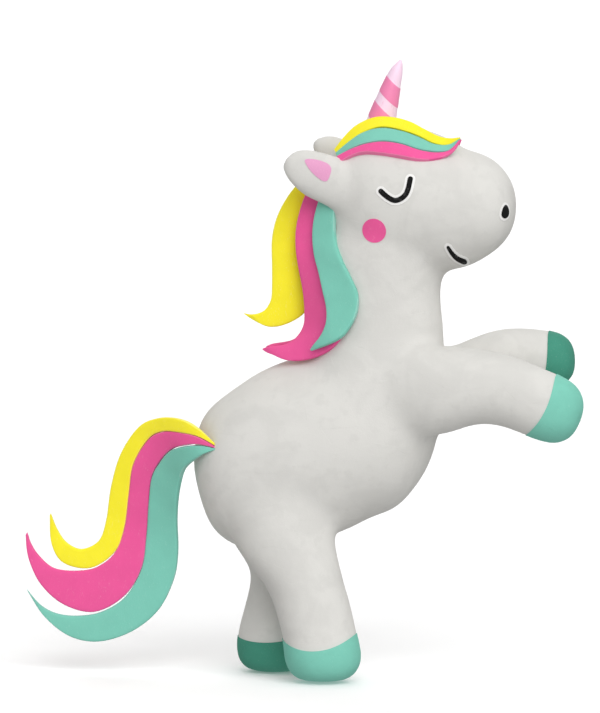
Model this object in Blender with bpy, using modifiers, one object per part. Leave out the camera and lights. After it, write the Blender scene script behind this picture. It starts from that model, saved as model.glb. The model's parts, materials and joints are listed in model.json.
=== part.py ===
"""A hanging unicorn pinata, reared up on its hind legs.

A hollow body of moulded pulp in glued shells, with foam-sheet hair, a rolled
card horn, stuck-on face pieces, a hanging eyelet at the poll and a hinged
filling hatch in the left flank.

Frame: +X is the way the unicorn faces, +Y its left side, +Z up. The origin is
the middle of the hanging eyelet. Every table below is in millimetres.
"""
import math

import bmesh
import bpy
from mathutils import Matrix
from mathutils import Vector

MM = 0.001

# Walls and clearances
WALL = 4.0
SEAM = 0.3
SKIN_GAP = 0.35
STICKER = 0.5
TAPE = 0.5
TAB = 1.1

# Mesh fineness
VOXEL = 4.0
SMOOTHING = 36
OUTER_FACES = 2200
INNER_FACES = 700

# The solid masses: path x, path z, radius in the side view, half width across,
# and for a leg its distance from the middle plane
TORSO = [
    (-143, -293, 8, 7),
    (-139, -291, 24, 21),
    (-134, -294, 40, 32),
    (-126, -299, 55, 43),
    (-113, -300, 67, 54),
    (-99, -298, 75, 60),
    (-86, -294, 80, 63),
    (-59, -287, 85, 65),
    (-30, -279, 85, 65),
    (-4, -272, 84, 64),
    (22, -266, 77, 60),
    (37, -263, 75, 57),
    (50, -261, 67, 52),
    (64, -260, 50, 43),
    (72, -259, 36, 34),
    (79, -260, 15, 15),
]
NECK = [
    (14, -262, 56, 52),
    (20, -235, 64, 57),
    (25, -205, 61, 51),
    (28, -173, 58, 45),
    (27, -146, 56, 44),
    (27, -124, 57, 44),
    (30, -100, 57, 45),
    (32, -80, 50, 40),
    (34, -62, 34, 26),
]
HEAD = [
    (-20, -60, 22, 20),
    (-12, -58, 36, 32),
    (0, -54, 49, 41),
    (22, -51, 65, 50),
    (46, -53, 67, 52),
    (68, -56, 62, 51),
    (91, -62, 57, 48),
    (105, -61, 53, 46),
    (119, -60, 49, 45),
    (135, -60, 39, 39),
    (146, -60, 25, 27),
    (151, -60, 11, 13),
]
HIND_LEG_RIGHT = [
    (-66, -268, 22, 12, 26),
    (-64, -288, 42, 24, 29),
    (-60, -322, 48, 31, 32),
    (-54, -362, 46, 32, 34),
    (-43, -388, 41, 32, 35),
    (-36.5, -400, 37.5, 31, 35),
    (-30, -416, 36, 31, 35),
    (-24, -440, 35, 31, 35),
    (-20, -456, 35, 32, 35),
    (-19, -468, 36, 32, 35),
    (-19, -480, 32, 29, 35),
    (-20, -488, 23, 20, 35),
]
HIND_LEG_LEFT = [
    (-70, -268, 22, 12, 26),
    (-72, -288, 40, 24, 29),
    (-73, -322, 48, 31, 32),
    (-71, -362, 46, 32, 34),
    (-68, -382, 39, 31, 35),
    (-63, -397, 34, 30, 35),
    (-63, -408, 34, 30, 35),
    (-66.5, -424, 34.5, 30, 35),
    (-70, -440, 35, 31, 35),
    (-73, -454, 36, 31, 35),
    (-74, -468, 36, 32, 35),
    (-74, -480, 34, 30, 35),
    (-74, -489, 25, 21, 35),
]
FORELEG_RIGHT = [
    (10, -232, 24, 10, 20),
    (32, -229, 40, 23, 26),
    (60, -225, 43, 29, 31),
    (88, -223, 41, 31, 34),
    (115, -219, 36, 31, 35),
    (142, -221, 33, 30, 35),
    (168, -230, 32, 29, 35),
    (190, -239, 31.5, 28, 35),
    (205, -245.5, 27, 24, 35),
    (214, -249, 15, 14, 35),
]
FORELEG_LEFT = [
    (10, -240, 24, 10, 20),
    (32, -237, 40, 23, 26),
    (56, -232, 42, 29, 30),
    (78, -227, 39, 31, 34),
    (97, -221, 33, 30, 35),
    (116, -211, 31, 29, 35),
    (135, -202, 29, 28, 35),
    (152, -200, 28, 27, 35),
    (176, -201, 27, 26, 35),
    (191, -202, 23.5, 22, 35),
    (200, -202, 14.5, 13, 35),
]

# Ears: x, z, radius in the side view, half thickness, distance from the middle
EAR_RIGHT = [
    (-53, -17, 3, 2, 45),
    (-49, -19, 11, 6, 44),
    (-39, -23, 18, 8, 42),
    (-25, -30, 22, 10, 38),
    (-10, -37, 23, 11, 32),
    (8, -44, 24, 12, 31),
    (24, -48, 22, 12, 30),
]
EAR_LEFT = [
    (-41, -14, 3, 2, 42),
    (-36, -13, 10, 6, 41),
    (-25, -16, 16, 8, 39),
    (-12, -24, 20, 10, 34),
    (2, -33, 21, 11, 28),
    (18, -40, 22, 12, 29),
    (32, -44, 20, 12, 30),
]

# The rolled card horn: x, z, radius
HORN = [
    (25, 4, 14.2),
    (29, 17, 12.8),
    (34, 35, 10.2),
    (38, 48, 8.1),
    (42, 60, 6.0),
    (45, 67.5, 3.0),
    (46, 71, 0.9),
]

# Where the body shells are parted
NECK_SEAM = -165.0
FORELEG_SEAM = 88.0
HIND_LEG_SEAM = -365.0
REACH = 260.0

# Hoof lines, an arc each: centre x and z, radius, and the side the hoof is on
HOOF_HALF_CHORD = 50.0
HOOF_ZONE_LENGTH = 150.0
HOOF_LINES = {
    "hoof_hind_right": (-26, -399, 59, -90),
    "hoof_hind_left": (-82, -340, 120, -90),
    "hoof_fore_right": (126, -208, 67, -30),
    "hoof_fore_left": (90, -192, 88, 0),
}

# Hair, as rungs across each strand from one edge to the other
MANE_THICKNESS = 7.0
MANE_YELLOW = [
    (-6, 0, -28, -6, 0, -44),
    (-22, 0, -27, -16, 0, -50),
    (-40, 0, -35, -24, 0, -56),
    (-55, 0, -51, -31, 0, -66),
    (-66, 0, -71, -38, 0, -80),
    (-71, 0, -92, -41, 0, -95),
    (-71, 0, -115, -40, 0, -117),
    (-71, 0, -135, -38, 0, -140),
    (-72, 0, -147, -40, 0, -157),
    (-77, 0, -156, -55, 0, -168),
    (-84, 0, -160, -72, 0, -172),
    (-91, 0, -161, -86, 0, -167),
    (-97, 0, -160, -96, 0, -161),
]
MANE_PINK_RIGHT = [
    (-9, -7, -34, -6, -13, -46),
    (-24, -8, -36, -16, -13, -50),
    (-36, -9, -46, -24, -13, -56),
    (-43, -10, -63, -28, -14, -68),
    (-47, -11, -82, -29, -16, -82),
    (-47, -12, -100, -26, -19, -100),
    (-44, -13, -118, -21, -25, -118),
    (-40, -15, -136, -14, -32, -136),
    (-38, -17, -155, -8, -38, -152),
    (-39, -18, -169, -3, -41, -165),
    (-46, -18, -180, -1, -43, -175),
    (-56, -17, -186, -12, -38, -188),
    (-66, -15, -188, -30, -31, -197),
    (-73, -13, -189, -50, -24, -200),
    (-76, -11, -190, -65, -17, -196),
    (-78, -10, -191, -77, -10, -192),
]
MANE_TEAL_RIGHT = [
    (-10, -20, -40, -4, -27, -48),
    (-21, -21, -48, -8, -29, -57),
    (-28, -21.8, -68, -9, -29.5, -70),
    (-30, -22.8, -86, -8, -31.5, -88),
    (-28, -26, -103, -2, -39, -105),
    (-23, -32, -119, 7, -43.5, -121),
    (-19, -37, -134, 14, -45.5, -136),
    (-15, -40, -150, 14, -47, -152),
    (-15, -42, -164, 7, -49, -167),
    (-20, -41.5, -176, -4, -49.5, -178),
    (-30, -38, -188, -29, -39, -189),
]
FORELOCK_THICKNESS = 8.0
LEFT_LOCK_SHIFT = (-7.0, 5.0, -4.5)
FORELOCK_YELLOW_RIGHT = [
    (-11, -18, -9, -9, -20, -12),
    (-2, -18, 2, 3, -22, -3),
    (9, -17, 12, 17, -23, 6),
    (24, -17, 19, 32, -23, 11),
    (39, -17, 20, 48, -23, 9),
    (54, -17, 17, 64, -23, 4),
    (68, -18, 11, 77, -23, -2),
    (82, -20, 5, 88, -23, -4),
    (93, -22, 3, 96, -23, -2),
    (103, -24, 4, 103, -24, 3),
]
FORELOCK_TEAL_RIGHT = [
    (-9, -21, -12, -7, -24, -15),
    (3, -23, -3, 7, -30, -8),
    (17, -24, 6, 21, -33, -3),
    (32, -24, 10, 36, -34, -1),
    (48, -24, 8, 51, -34, -3),
    (64, -24, 3, 67, -33, -8),
    (77, -24, -3, 81, -31, -10),
    (88, -24, -4, 92, -28, -9),
    (96, -24, -2, 98, -26, -5),
    (103, -25, 3, 103, -25, 2),
]
FORELOCK_PINK_RIGHT = [
    (-7, -25, -15, -4, -29, -20),
    (7, -31, -8, 8, -35, -12),
    (21, -34, -3, 20, -40, -10),
    (36, -35, -1, 35, -42, -11),
    (51, -35, -3, 51, -43, -13),
    (67, -34, -8, 67, -41, -16),
    (81, -32, -10, 80, -37, -16),
    (92, -29, -9, 93, -32, -12),
    (98, -27, -5, 100, -29, -6),
    (103, -26, 2, 104, -26, 1),
]
TAIL_THICKNESS = 7.0
TAIL_YELLOW = [
    (-116, -47, -273, -116, -48, -275),
    (-131, -42, -261, -131, -43, -268),
    (-148, -31, -254, -148, -33, -266),
    (-169, -18, -254, -167, -20, -266.5),
    (-190, -9, -263, -181.5, -12, -274.5),
    (-208, -5, -288, -196, -7, -297.5),
    (-218, -2, -319, -201, -3, -324),
    (-223, 0, -350, -206, 0, -356),
    (-230, 0, -369, -215, 0, -379),
    (-246, 0, -377, -237, 0, -394),
    (-260, 0, -371, -262, 0, -390),
    (-269, 0, -358, -273, 0, -373),
    (-274, 0, -345, -275, 0, -347),
]
TAIL_PINK = [
    (-116, -48, -276, -116, -48, -277),
    (-131, -43, -269, -131, -43, -274),
    (-148, -33, -267, -146, -35, -276),
    (-166, -21, -267.5, -159, -24, -281),
    (-180.5, -13, -275.5, -170.5, -16, -292),
    (-195, -8, -298, -179.5, -10, -307),
    (-200, -4, -325, -183.5, -5, -331),
    (-205, 0, -357, -186.5, 0, -361),
    (-214, 0, -380, -191.5, 0, -392.5),
    (-231, 0, -394, -207, 0, -418),
    (-250, 0, -398, -234, 0, -433),
    (-271, 0, -396, -262, 0, -427),
    (-285, 0, -385, -283, 0, -409),
    (-293, 0, -373, -294, 0, -386),
    (-296, 0, -363, -297, 0, -365),
]
TAIL_TEAL = [
    (-115, -48, -278, -115, -48, -279),
    (-130, -43, -276, -125, -45, -283),
    (-146, -35, -278, -136, -39, -290),
    (-159, -25, -283, -146, -31, -299),
    (-169.5, -17, -294, -151, -23, -311),
    (-178.5, -11, -309, -155, -15, -329),
    (-182.5, -6, -333, -157, -7, -350),
    (-185.5, -1, -362, -157, -2, -378),
    (-190.5, 0, -393.5, -161, 0, -403),
    (-206, 0, -420, -175, 0, -431),
    (-228, 0, -434, -199, 0, -451),
    (-250, 0, -438, -229, 0, -461),
    (-270, 0, -436, -256, 0, -457),
    (-285, 0, -428, -279, 0, -440),
    (-296, 0, -415, -295, 0, -417),
]
STRAND_INSET = 0.4

# Face pieces, as outlines or lines in the side view, on the head within this box
FACE_BOX = (-40, 190, -150, 60)
FACE_REACH = 90.0
FACE_MIDDLE = 3.0
EYE_LINE = [(62, -33), (60, -43), (56, -49), (49, -52), (42, -49), (36, -44)]
EYE_LINE_WIDTH = 4.6
MOUTH_LINE = [(94, -94), (97, -100), (101.5, -105), (107.5, -108)]
MOUTH_LINE_WIDTH = 3.6
CHEEK = (29, -79, 11.0)
NOSTRIL = (145.5, -61.2, 3.8, 6.0)
STICKER_BORDER = 2.2
INNER_EAR_NEAR = 36.0
INNER_EAR_FAR = 80.0
INNER_EAR = {
    "right": [(-34, -14), (-22, -15), (-11, -19), (-9, -25), (-15, -35), (-24, -30), (-32, -21)],
    "left": [(-25, -8), (-14, -10), (-4, -15), (-3, -20), (-8, -28), (-16, -24), (-23, -16)],
}

# Hanging eyelet and the disc that spreads its load under the shell
EYELET_TILT = -38.0
EYELET_HOLE = 2.0
EYELET_BARREL = 3.4
EYELET_FLANGE = 7.0
EYELET_RIM = 1.2
EYELET_DEPTH = 12.0
EYELET_SEAT_REACH = 30.0
DISC_RADIUS = 11.0
DISC_DROP = 9.8
DISC_THICKNESS = 1.5

# Filling hatch in the left flank, and how far across its cuts and strips reach
FLANK_BOX = (-95, 35, -350, -215)
FLANK_NEAR = 22.0
FLANK_FAR = 88.0
DOOR_NEAR = 20.0
HATCH_LEFT = -66.0
HATCH_RIGHT = 4.0
HATCH_TOP = -250.0
HATCH_BOTTOM = -312.0
HATCH_CORNER = 12.0
HATCH_CLEARANCE = 0.6
TAPE_LEFT = -50.0
TAPE_RIGHT = -12.0
TAPE_GAP = 2.0
TAPE_REACH = 13.0
TAB_HALF_WIDTH = 8.0
TAB_TOP = -298.0
TAB_BOTTOM = -326.0

COLOURS = {
    "pulp": (0.66, 0.65, 0.62),
    "teal": (0.20, 0.56, 0.45),
    "deep_teal": (0.055, 0.27, 0.19),
    "yellow": (0.94, 0.83, 0.03),
    "pink": (0.83, 0.10, 0.32),
    "soft_pink": (0.77, 0.34, 0.56),
    "horn": (0.85, 0.45, 0.62),
    "ink": (0.01, 0.01, 0.01),
    "paper": (0.85, 0.84, 0.82),
    "card": (0.45, 0.33, 0.20),
    "steel": (0.60, 0.60, 0.62),
}
METALS = {"steel"}


def clear_scene():
    """Take away whatever the file starts with."""
    for item in list(bpy.data.objects):
        bpy.data.objects.remove(item, do_unlink=True)


def make_collections():
    """One collection for the pinata, one for the shapes that cut it."""
    made = []
    for title in ("unicorn_pinata", "cutters"):
        group = bpy.data.collections.new(title)
        bpy.context.scene.collection.children.link(group)
        made.append(group)
    return made


def material(colour):
    """The flat material of one finish, made once."""
    found = bpy.data.materials.get(colour)
    if found:
        return found
    made = bpy.data.materials.new(colour)
    made.use_nodes = True
    shader = made.node_tree.nodes["Principled BSDF"]
    shader.inputs["Base Color"].default_value = (*COLOURS[colour], 1.0)
    shader.inputs["Roughness"].default_value = 0.35 if colour in METALS else 0.8
    shader.inputs["Metallic"].default_value = 1.0 if colour in METALS else 0.0
    return made


def add_object(name, shape, group):
    """Link a bmesh or a mesh into a collection as a named object."""
    if isinstance(shape, bmesh.types.BMesh):
        mesh = bpy.data.meshes.new(name)
        shape.to_mesh(mesh)
        shape.free()
    else:
        mesh = shape
    item = bpy.data.objects.new(name, mesh)
    group.objects.link(item)
    return item


def add_cutter(name, shape):
    """A shape that cuts others and is never seen."""
    item = add_object(name, shape, CUTTERS)
    item.hide_render = True
    item.display_type = "WIRE"
    return item


def settled_mesh(item):
    """The mesh of an object with its modifiers worked in."""
    graph = bpy.context.evaluated_depsgraph_get()
    graph.update()
    return bpy.data.meshes.new_from_object(item.evaluated_get(graph))


def settle(item):
    """Work the modifiers of an object into its mesh."""
    mesh = settled_mesh(item)
    item.modifiers.clear()
    item.data = mesh
    return item


def smooth_rows(rows, steps):
    """A Catmull-Rom curve through rows of numbers."""
    made = []
    last = len(rows) - 1
    for i in range(last):
        before = rows[max(i - 1, 0)]
        after = rows[min(i + 2, last)]
        for k in range(steps):
            t = k / steps
            row = []
            for a, b, c, d in zip(before, rows[i], rows[i + 1], after):
                bend = 2 * a - 5 * b + 4 * c - d
                twist = 3 * b - a - 3 * c + d
                row.append(b + 0.5 * t * (c - a + t * (bend + t * twist)))
            made.append(row)
    made.append([float(value) for value in rows[last]])
    return made


def skin_rings(rings):
    """A closed solid lofted over rings that have the same number of points."""
    solid = bmesh.new()
    loops = [[solid.verts.new(point * MM) for point in ring] for ring in rings]
    count = len(rings[0])
    for first, second in zip(loops, loops[1:]):
        for i in range(count):
            j = (i + 1) % count
            solid.faces.new((first[i], first[j], second[j], second[i]))
    solid.faces.new(loops[0])
    solid.faces.new(loops[-1])
    bmesh.ops.recalc_face_normals(solid, faces=solid.faces)
    return solid


def direction_at(points, i):
    """The unit direction of a path of points at one of them."""
    step = points[min(i + 1, len(points) - 1)] - points[max(i - 1, 0)]
    return step.normalized()


def limb(stations, sign=0, steps=3, sides=20, level=None):
    """A fat tube of ellipses along a path in the side view.

    A fifth number in a station is its distance from the middle plane, on
    the side that the sign gives. The ellipses lie square to the path, or
    square to the level direction if one is given.
    """
    rows = smooth_rows(stations, steps)
    path = []
    for row in rows:
        across = sign * row[4] if sign else 0.0
        path.append(Vector((row[0], across, row[1])))
    rings = []
    for i, row in enumerate(rows):
        along = level or direction_at(path, i)
        side = Vector((0, 1, 0))
        up = side.cross(along).normalized()
        radius = max(row[2], 0.5)
        width = max(row[3], 0.5)
        ring = []
        for k in range(sides):
            turn = 2 * math.pi * k / sides
            ring.append(path[i] + up * (radius * math.cos(turn)) + side * (width * math.sin(turn)))
        rings.append(ring)
    return skin_rings(rings)


def strand(rungs, thickness, steps, sides=8):
    """A flat lock of hair with rounded edges, from rungs across it."""
    rows = smooth_rows(rungs, steps)
    starts = [Vector(row[:3]) for row in rows]
    ends = [Vector(row[3:6]) for row in rows]
    middles = [(a + b) / 2 for a, b in zip(starts, ends)]
    rings = []
    for i, middle in enumerate(middles):
        across = ends[i] - starts[i]
        half = max(across.length / 2 - STRAND_INSET, 0.5)
        across.normalize()
        out = direction_at(middles, i).cross(across).normalized()
        depth = min(thickness / 2, 0.5 + half * 0.6)
        ring = []
        for k in range(sides):
            turn = 2 * math.pi * (k + 0.5) / sides
            swell = math.copysign(abs(math.sin(turn)) ** 0.7, math.sin(turn))
            ring.append(middle + across * (half * math.cos(turn)) + out * (depth * swell))
        rings.append(ring)
    return skin_rings(rings)


def mirrored(rungs, shift):
    """The same rungs on the other side of the middle plane, moved by a shift."""
    x, y, z = shift
    return [(a + x, y - b, c + z, d + x, y - e, f + z) for a, b, c, d, e, f in rungs]


def prism(outline, near, far):
    """An outline in the side view, carried across from one distance to another."""
    front = [Vector((x, near, z)) for x, z in outline]
    back = [Vector((x, far, z)) for x, z in outline]
    return skin_rings([front, back])


def box_outline(left, right, bottom, top):
    """A plain rectangle in the side view."""
    return [(left, bottom), (right, bottom), (right, top), (left, top)]


def arc(centre_x, centre_z, radius, start, end, count):
    """Points along an arc in the side view, angles in degrees."""
    made = []
    for k in range(count + 1):
        turn = math.radians(start + (end - start) * k / count)
        made.append((centre_x + radius * math.cos(turn), centre_z + radius * math.sin(turn)))
    return made


def rounded_box(left, right, bottom, top, corner):
    """A rectangle with round corners."""
    outline = arc(right - corner, top - corner, corner, 0, 90, 4)
    outline += arc(left + corner, top - corner, corner, 90, 180, 4)
    outline += arc(left + corner, bottom + corner, corner, 180, 270, 4)
    outline += arc(right - corner, bottom + corner, corner, 270, 360, 4)
    return outline


def drop(height, width, centre_x, centre_z):
    """A small upright egg outline, narrower at its top."""
    outline = []
    for k in range(12):
        turn = 2 * math.pi * k / 12
        rise = math.sin(turn)
        outline.append((centre_x + width * math.cos(turn) * (1 - 0.25 * rise), centre_z + height * rise))
    return outline


def ribbon(line, width, border=0.0, taper=0.0):
    """The outline of a line of some width with round ends."""
    rows = smooth_rows(line, 2)
    points = [Vector((x, z)) for x, z in rows]
    left = []
    right = []
    last = len(points) - 1
    for i, point in enumerate(points):
        along = direction_at(points, i)
        normal = Vector((-along.y, along.x))
        share = 1 - taper * abs(2 * i / last - 1)
        half = width / 2 * share + border
        left.append(point + normal * half)
        right.append(point - normal * half)
    first_along = direction_at(points, 0)
    last_along = direction_at(points, last)
    end_reach = (width / 2 * (1 - taper) + border) * 0.8
    tip = [points[last] + last_along * end_reach]
    tail = [points[0] - first_along * end_reach]
    return [(p.x, p.y) for p in left + tip + right[::-1] + tail]


def spun(profile, sides):
    """A ring turned about Z from a closed profile of radius and height."""
    ring = bmesh.new()
    verts = [ring.verts.new(Vector((radius, 0, height)) * MM) for radius, height in profile]
    for i, vert in enumerate(verts):
        ring.edges.new((vert, verts[(i + 1) % len(verts)]))
    bmesh.ops.spin(
        ring,
        geom=ring.verts[:] + ring.edges[:],
        cent=(0, 0, 0),
        axis=(0, 0, 1),
        angle=2 * math.pi,
        steps=sides,
        use_merge=True,
    )
    bmesh.ops.recalc_face_normals(ring, faces=ring.faces)
    return ring


def combine(item, cutter, operation):
    """Cut, keep or join with an exact Boolean, worked in at once."""
    change = item.modifiers.new(operation.lower(), "BOOLEAN")
    change.operation = operation
    change.solver = "EXACT"
    change.object = cutter
    return settle(item)


def copy_of(item, name):
    """A cutter with a copy of an object's mesh."""
    return add_cutter(name, item.data.copy())


def swollen(item, name, distance):
    """A copy of a solid with its skin moved out by a distance."""
    made = copy_of(item, name)
    push = made.modifiers.new("push", "DISPLACE")
    push.direction = "NORMAL"
    push.mid_level = 0.0
    push.strength = distance * MM
    return settle(made)


def remesh(item):
    """One even closed skin over everything the object holds."""
    even = item.modifiers.new("even", "REMESH")
    even.mode = "VOXEL"
    even.voxel_size = VOXEL * MM
    return settle(item)


def relax(item, times):
    """Smooth the skin of an object."""
    ease = item.modifiers.new("ease", "SMOOTH")
    ease.factor = 0.5
    ease.iterations = times
    return settle(item)


def thin_out(item, faces):
    """Bring an object down to about this many triangles."""
    cut = item.modifiers.new("thin", "DECIMATE")
    cut.ratio = faces / (2 * len(item.data.polygons))
    cut.use_collapse_triangulate = True
    return settle(item)


def pour_form():
    """The outer skin of the body, legs, neck and head, and the hollow inside it."""
    masses = bmesh.new()
    forward = Vector((1, 0, 0))
    down = Vector((0, 0, -1))
    shapes = [
        limb(TORSO, level=forward),
        limb(NECK),
        limb(HEAD),
        limb(HIND_LEG_RIGHT, -1, level=down),
        limb(HIND_LEG_LEFT, 1, level=down),
        limb(FORELEG_RIGHT, -1),
        limb(FORELEG_LEFT, 1),
    ]
    for shape in shapes:
        mesh = bpy.data.meshes.new("mass")
        shape.to_mesh(mesh)
        shape.free()
        masses.from_mesh(mesh)
        bpy.data.meshes.remove(mesh)
    form = add_cutter("form", masses)
    remesh(form)
    relax(form, SMOOTHING)
    hollow = swollen(form, "hollow", -WALL)
    remesh(hollow)
    thin_out(hollow, INNER_FACES)
    thin_out(form, OUTER_FACES)
    return form, hollow


def finish(item, name, colour):
    """Name a finished piece, give it its finish and move it to the pinata."""
    CUTTERS.objects.unlink(item)
    PINATA.objects.link(item)
    item.hide_render = False
    item.display_type = "TEXTURED"
    item.name = name
    item.data.name = name
    item.data.materials.clear()
    item.data.materials.append(material(colour))
    for face in item.data.polygons:
        face.material_index = 0
    return item


def side_range(side):
    """The distances across that one side of the body covers."""
    half_seam = SEAM / 2
    return (-REACH, -half_seam) if side == "right" else (half_seam, REACH)


def part_of(shell, outline, side):
    """The share of a shell inside an outline, on one side."""
    near, far = side_range(side)
    region = add_cutter("region", prism(outline, near, far))
    piece = copy_of(shell, "piece")
    return combine(piece, region, "INTERSECT")


def hoof_outline(name, shift):
    """The zone of a hoof: beyond its arc, out to a far box."""
    centre_x, centre_z, radius, facing = HOOF_LINES[name]
    spread = math.degrees(math.asin(min(0.95, HOOF_HALF_CHORD / radius)))
    line = arc(centre_x, centre_z, radius + shift, facing - spread, facing + spread, 16)
    away = math.radians(facing)
    outward = (HOOF_ZONE_LENGTH * math.cos(away), HOOF_ZONE_LENGTH * math.sin(away))
    first = (line[-1][0] + outward[0], line[-1][1] + outward[1])
    second = (line[0][0] + outward[0], line[0][1] + outward[1])
    return line + [first, second]


def hatch_outline(spread):
    """The outline of the hatch, grown by a spread."""
    return rounded_box(
        HATCH_LEFT - spread,
        HATCH_RIGHT + spread,
        HATCH_BOTTOM - spread,
        HATCH_TOP + spread,
        HATCH_CORNER + spread,
    )


def build_shells(form, hollow):
    """Body shells, head shells, legs, hooves and the hatch door."""
    shell = copy_of(form, "shell")
    combine(shell, hollow, "DIFFERENCE")
    half_seam = SEAM / 2
    torso = box_outline(-REACH, FORELEG_SEAM - half_seam, HIND_LEG_SEAM + half_seam, NECK_SEAM - half_seam)
    head = box_outline(-REACH, REACH, NECK_SEAM + half_seam, REACH)
    hind = box_outline(-REACH, REACH, -2.5 * REACH, HIND_LEG_SEAM - half_seam)
    fore = box_outline(FORELEG_SEAM + half_seam, REACH, -1.2 * REACH, NECK_SEAM - half_seam)
    pieces = {}
    for side in ("right", "left"):
        near, far = side_range(side)
        pieces["torso_shell_" + side] = part_of(shell, torso, side)
        pieces["head_shell_" + side] = part_of(shell, head, side)
        for limb_name, outline in (("hind", hind), ("fore", fore)):
            leg = part_of(shell, outline, side)
            hoof = copy_of(leg, "hoof")
            hoof_name = "hoof_" + limb_name + "_" + side
            hoof_zone = add_cutter("hoof_zone", prism(hoof_outline(hoof_name, half_seam), near, far))
            leg_zone = add_cutter("leg_zone", prism(hoof_outline(hoof_name, -half_seam), near, far))
            combine(hoof, hoof_zone, "INTERSECT")
            combine(leg, leg_zone, "DIFFERENCE")
            leg_name = "hind_leg_" + side if limb_name == "hind" else "foreleg_" + side
            pieces[leg_name] = leg
            pieces[hoof_name] = hoof
    door_zone = add_cutter("door_zone", prism(hatch_outline(0.0), DOOR_NEAR, REACH))
    door_hole = add_cutter("door_hole", prism(hatch_outline(HATCH_CLEARANCE), DOOR_NEAR / 2, REACH))
    door = copy_of(shell, "door")
    combine(door, door_zone, "INTERSECT")
    combine(pieces["torso_shell_left"], door_hole, "DIFFERENCE")
    pieces["fill_door"] = door
    deep = EYELET_SEAT_REACH
    seat_floor = -EYELET_RIM / 2 - SEAM
    barrel_hole = add_cutter("barrel_hole", rod(EYELET_BARREL + SEAM, -deep, deep, 16))
    flange_seat = add_cutter("flange_seat", rod(EYELET_FLANGE + SEAM, seat_floor, deep, 16))
    for cutter in (barrel_hole, flange_seat):
        cutter.data.transform(eyelet_place())
        for side in ("right", "left"):
            combine(pieces["head_shell_" + side], cutter, "DIFFERENCE")
    for name, piece in pieces.items():
        colour = "pulp"
        if name.startswith("hoof"):
            colour = "teal" if name.endswith("right") else "deep_teal"
        finish(piece, name, colour)


def rod(radius, bottom, top, sides):
    """A plain round rod along Z, from one height to another."""
    made = bmesh.new()
    bmesh.ops.create_cone(
        made,
        cap_ends=True,
        segments=sides,
        radius1=radius * MM,
        radius2=radius * MM,
        depth=(top - bottom) * MM,
        matrix=Matrix.Translation((0, 0, (top + bottom) / 2 * MM)),
    )
    return made


def eyelet_place():
    """Where the eyelet stands: at the origin, square to the crown's slope."""
    return Matrix.Rotation(math.radians(EYELET_TILT), 4, "Y")


def build_hanger():
    """The hanging eyelet and its load disc."""
    half = EYELET_RIM / 2
    profile = [
        (EYELET_HOLE, half),
        (EYELET_HOLE, -EYELET_DEPTH),
        (EYELET_BARREL, -EYELET_DEPTH),
        (EYELET_BARREL, -half),
        (EYELET_FLANGE, -half),
        (EYELET_FLANGE, half),
    ]
    eyelet = add_cutter("eyelet", spun(profile, 16))
    eyelet.data.transform(eyelet_place())
    finish(eyelet, "hang_eyelet", "steel")
    top = -DISC_DROP
    bottom = -DISC_DROP - DISC_THICKNESS
    inner = EYELET_BARREL + SEAM
    ring = [(inner, top), (inner, bottom), (DISC_RADIUS, bottom), (DISC_RADIUS, top)]
    disc = add_cutter("disc", spun(ring, 16))
    disc.data.transform(eyelet_place())
    finish(disc, "hang_disc", "card")


def layer(block, low, high, outline, near, far):
    """A thin piece that follows a skin, between two heights above it."""
    piece = swollen(block, "layer", high)
    core = swollen(block, "core", low)
    combine(piece, core, "DIFFERENCE")
    zone = add_cutter("zone", prism(outline, near, far))
    return combine(piece, zone, "INTERSECT")


def build_face(form):
    """Closed eyes, cheeks, nostrils and mouth corners, on both sides."""
    window = add_cutter("window", prism(box_outline(*FACE_BOX), -FACE_REACH, FACE_REACH))
    block = copy_of(form, "head_block")
    combine(block, window, "INTERSECT")
    low = SKIN_GAP
    high = SKIN_GAP + STICKER
    second = high + SEAM
    top = second + STICKER
    nostril_x, nostril_z, nostril_half, nostril_height = NOSTRIL
    border = STICKER_BORDER
    marks = {
        "eye": (
            ribbon(EYE_LINE, EYE_LINE_WIDTH, border),
            ribbon(EYE_LINE, EYE_LINE_WIDTH),
        ),
        "mouth": (
            ribbon(MOUTH_LINE, MOUTH_LINE_WIDTH, border, 0.4),
            ribbon(MOUTH_LINE, MOUTH_LINE_WIDTH, 0.0, 0.4),
        ),
        "nostril": (
            drop(nostril_height + border, nostril_half + border, nostril_x, nostril_z),
            drop(nostril_height, nostril_half, nostril_x, nostril_z),
        ),
    }
    cheek_x, cheek_z, cheek_radius = CHEEK
    cheek = arc(cheek_x, cheek_z, cheek_radius, 0, 337.5, 15)
    for side, near, far in (("right", -FACE_REACH, -FACE_MIDDLE), ("left", FACE_MIDDLE, FACE_REACH)):
        for mark, (backing, line) in marks.items():
            back_piece = layer(block, low, high, backing, near, far)
            finish(back_piece, mark + "_backing_" + side, "paper")
            line_piece = layer(block, second, top, line, near, far)
            finish(line_piece, mark + "_line_" + side, "ink")
        finish(layer(block, low, high, cheek, near, far), "cheek_" + side, "pink")


def build_ears(skin):
    """Ears set on the head, each with a pink lining, and the room they take."""
    room = {}
    for side, stations, sign in (("right", EAR_RIGHT, -1), ("left", EAR_LEFT, 1)):
        ear = add_cutter("ear", limb(stations, sign, 2, 12))
        near = sign * INNER_EAR_NEAR
        far = sign * INNER_EAR_FAR
        lining = layer(ear, SKIN_GAP, SKIN_GAP + STICKER, INNER_EAR[side], near, far)
        combine(lining, skin, "DIFFERENCE")
        combine(ear, skin, "DIFFERENCE")
        room[side] = swollen(ear, "ear_room", SEAM)
        finish(ear, "ear_" + side, "pulp")
        finish(lining, "inner_ear_" + side, "soft_pink")
    return room


def build_horn(skin):
    """The horn, standing on the crown, and the room it takes."""
    stations = [(x, z, radius, radius) for x, z, radius in HORN]
    horn = add_cutter("horn", limb(stations, 0, 1, 16))
    combine(horn, skin, "DIFFERENCE")
    room = swollen(horn, "horn_room", SEAM)
    finish(horn, "horn_cone", "horn")
    return room


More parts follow.
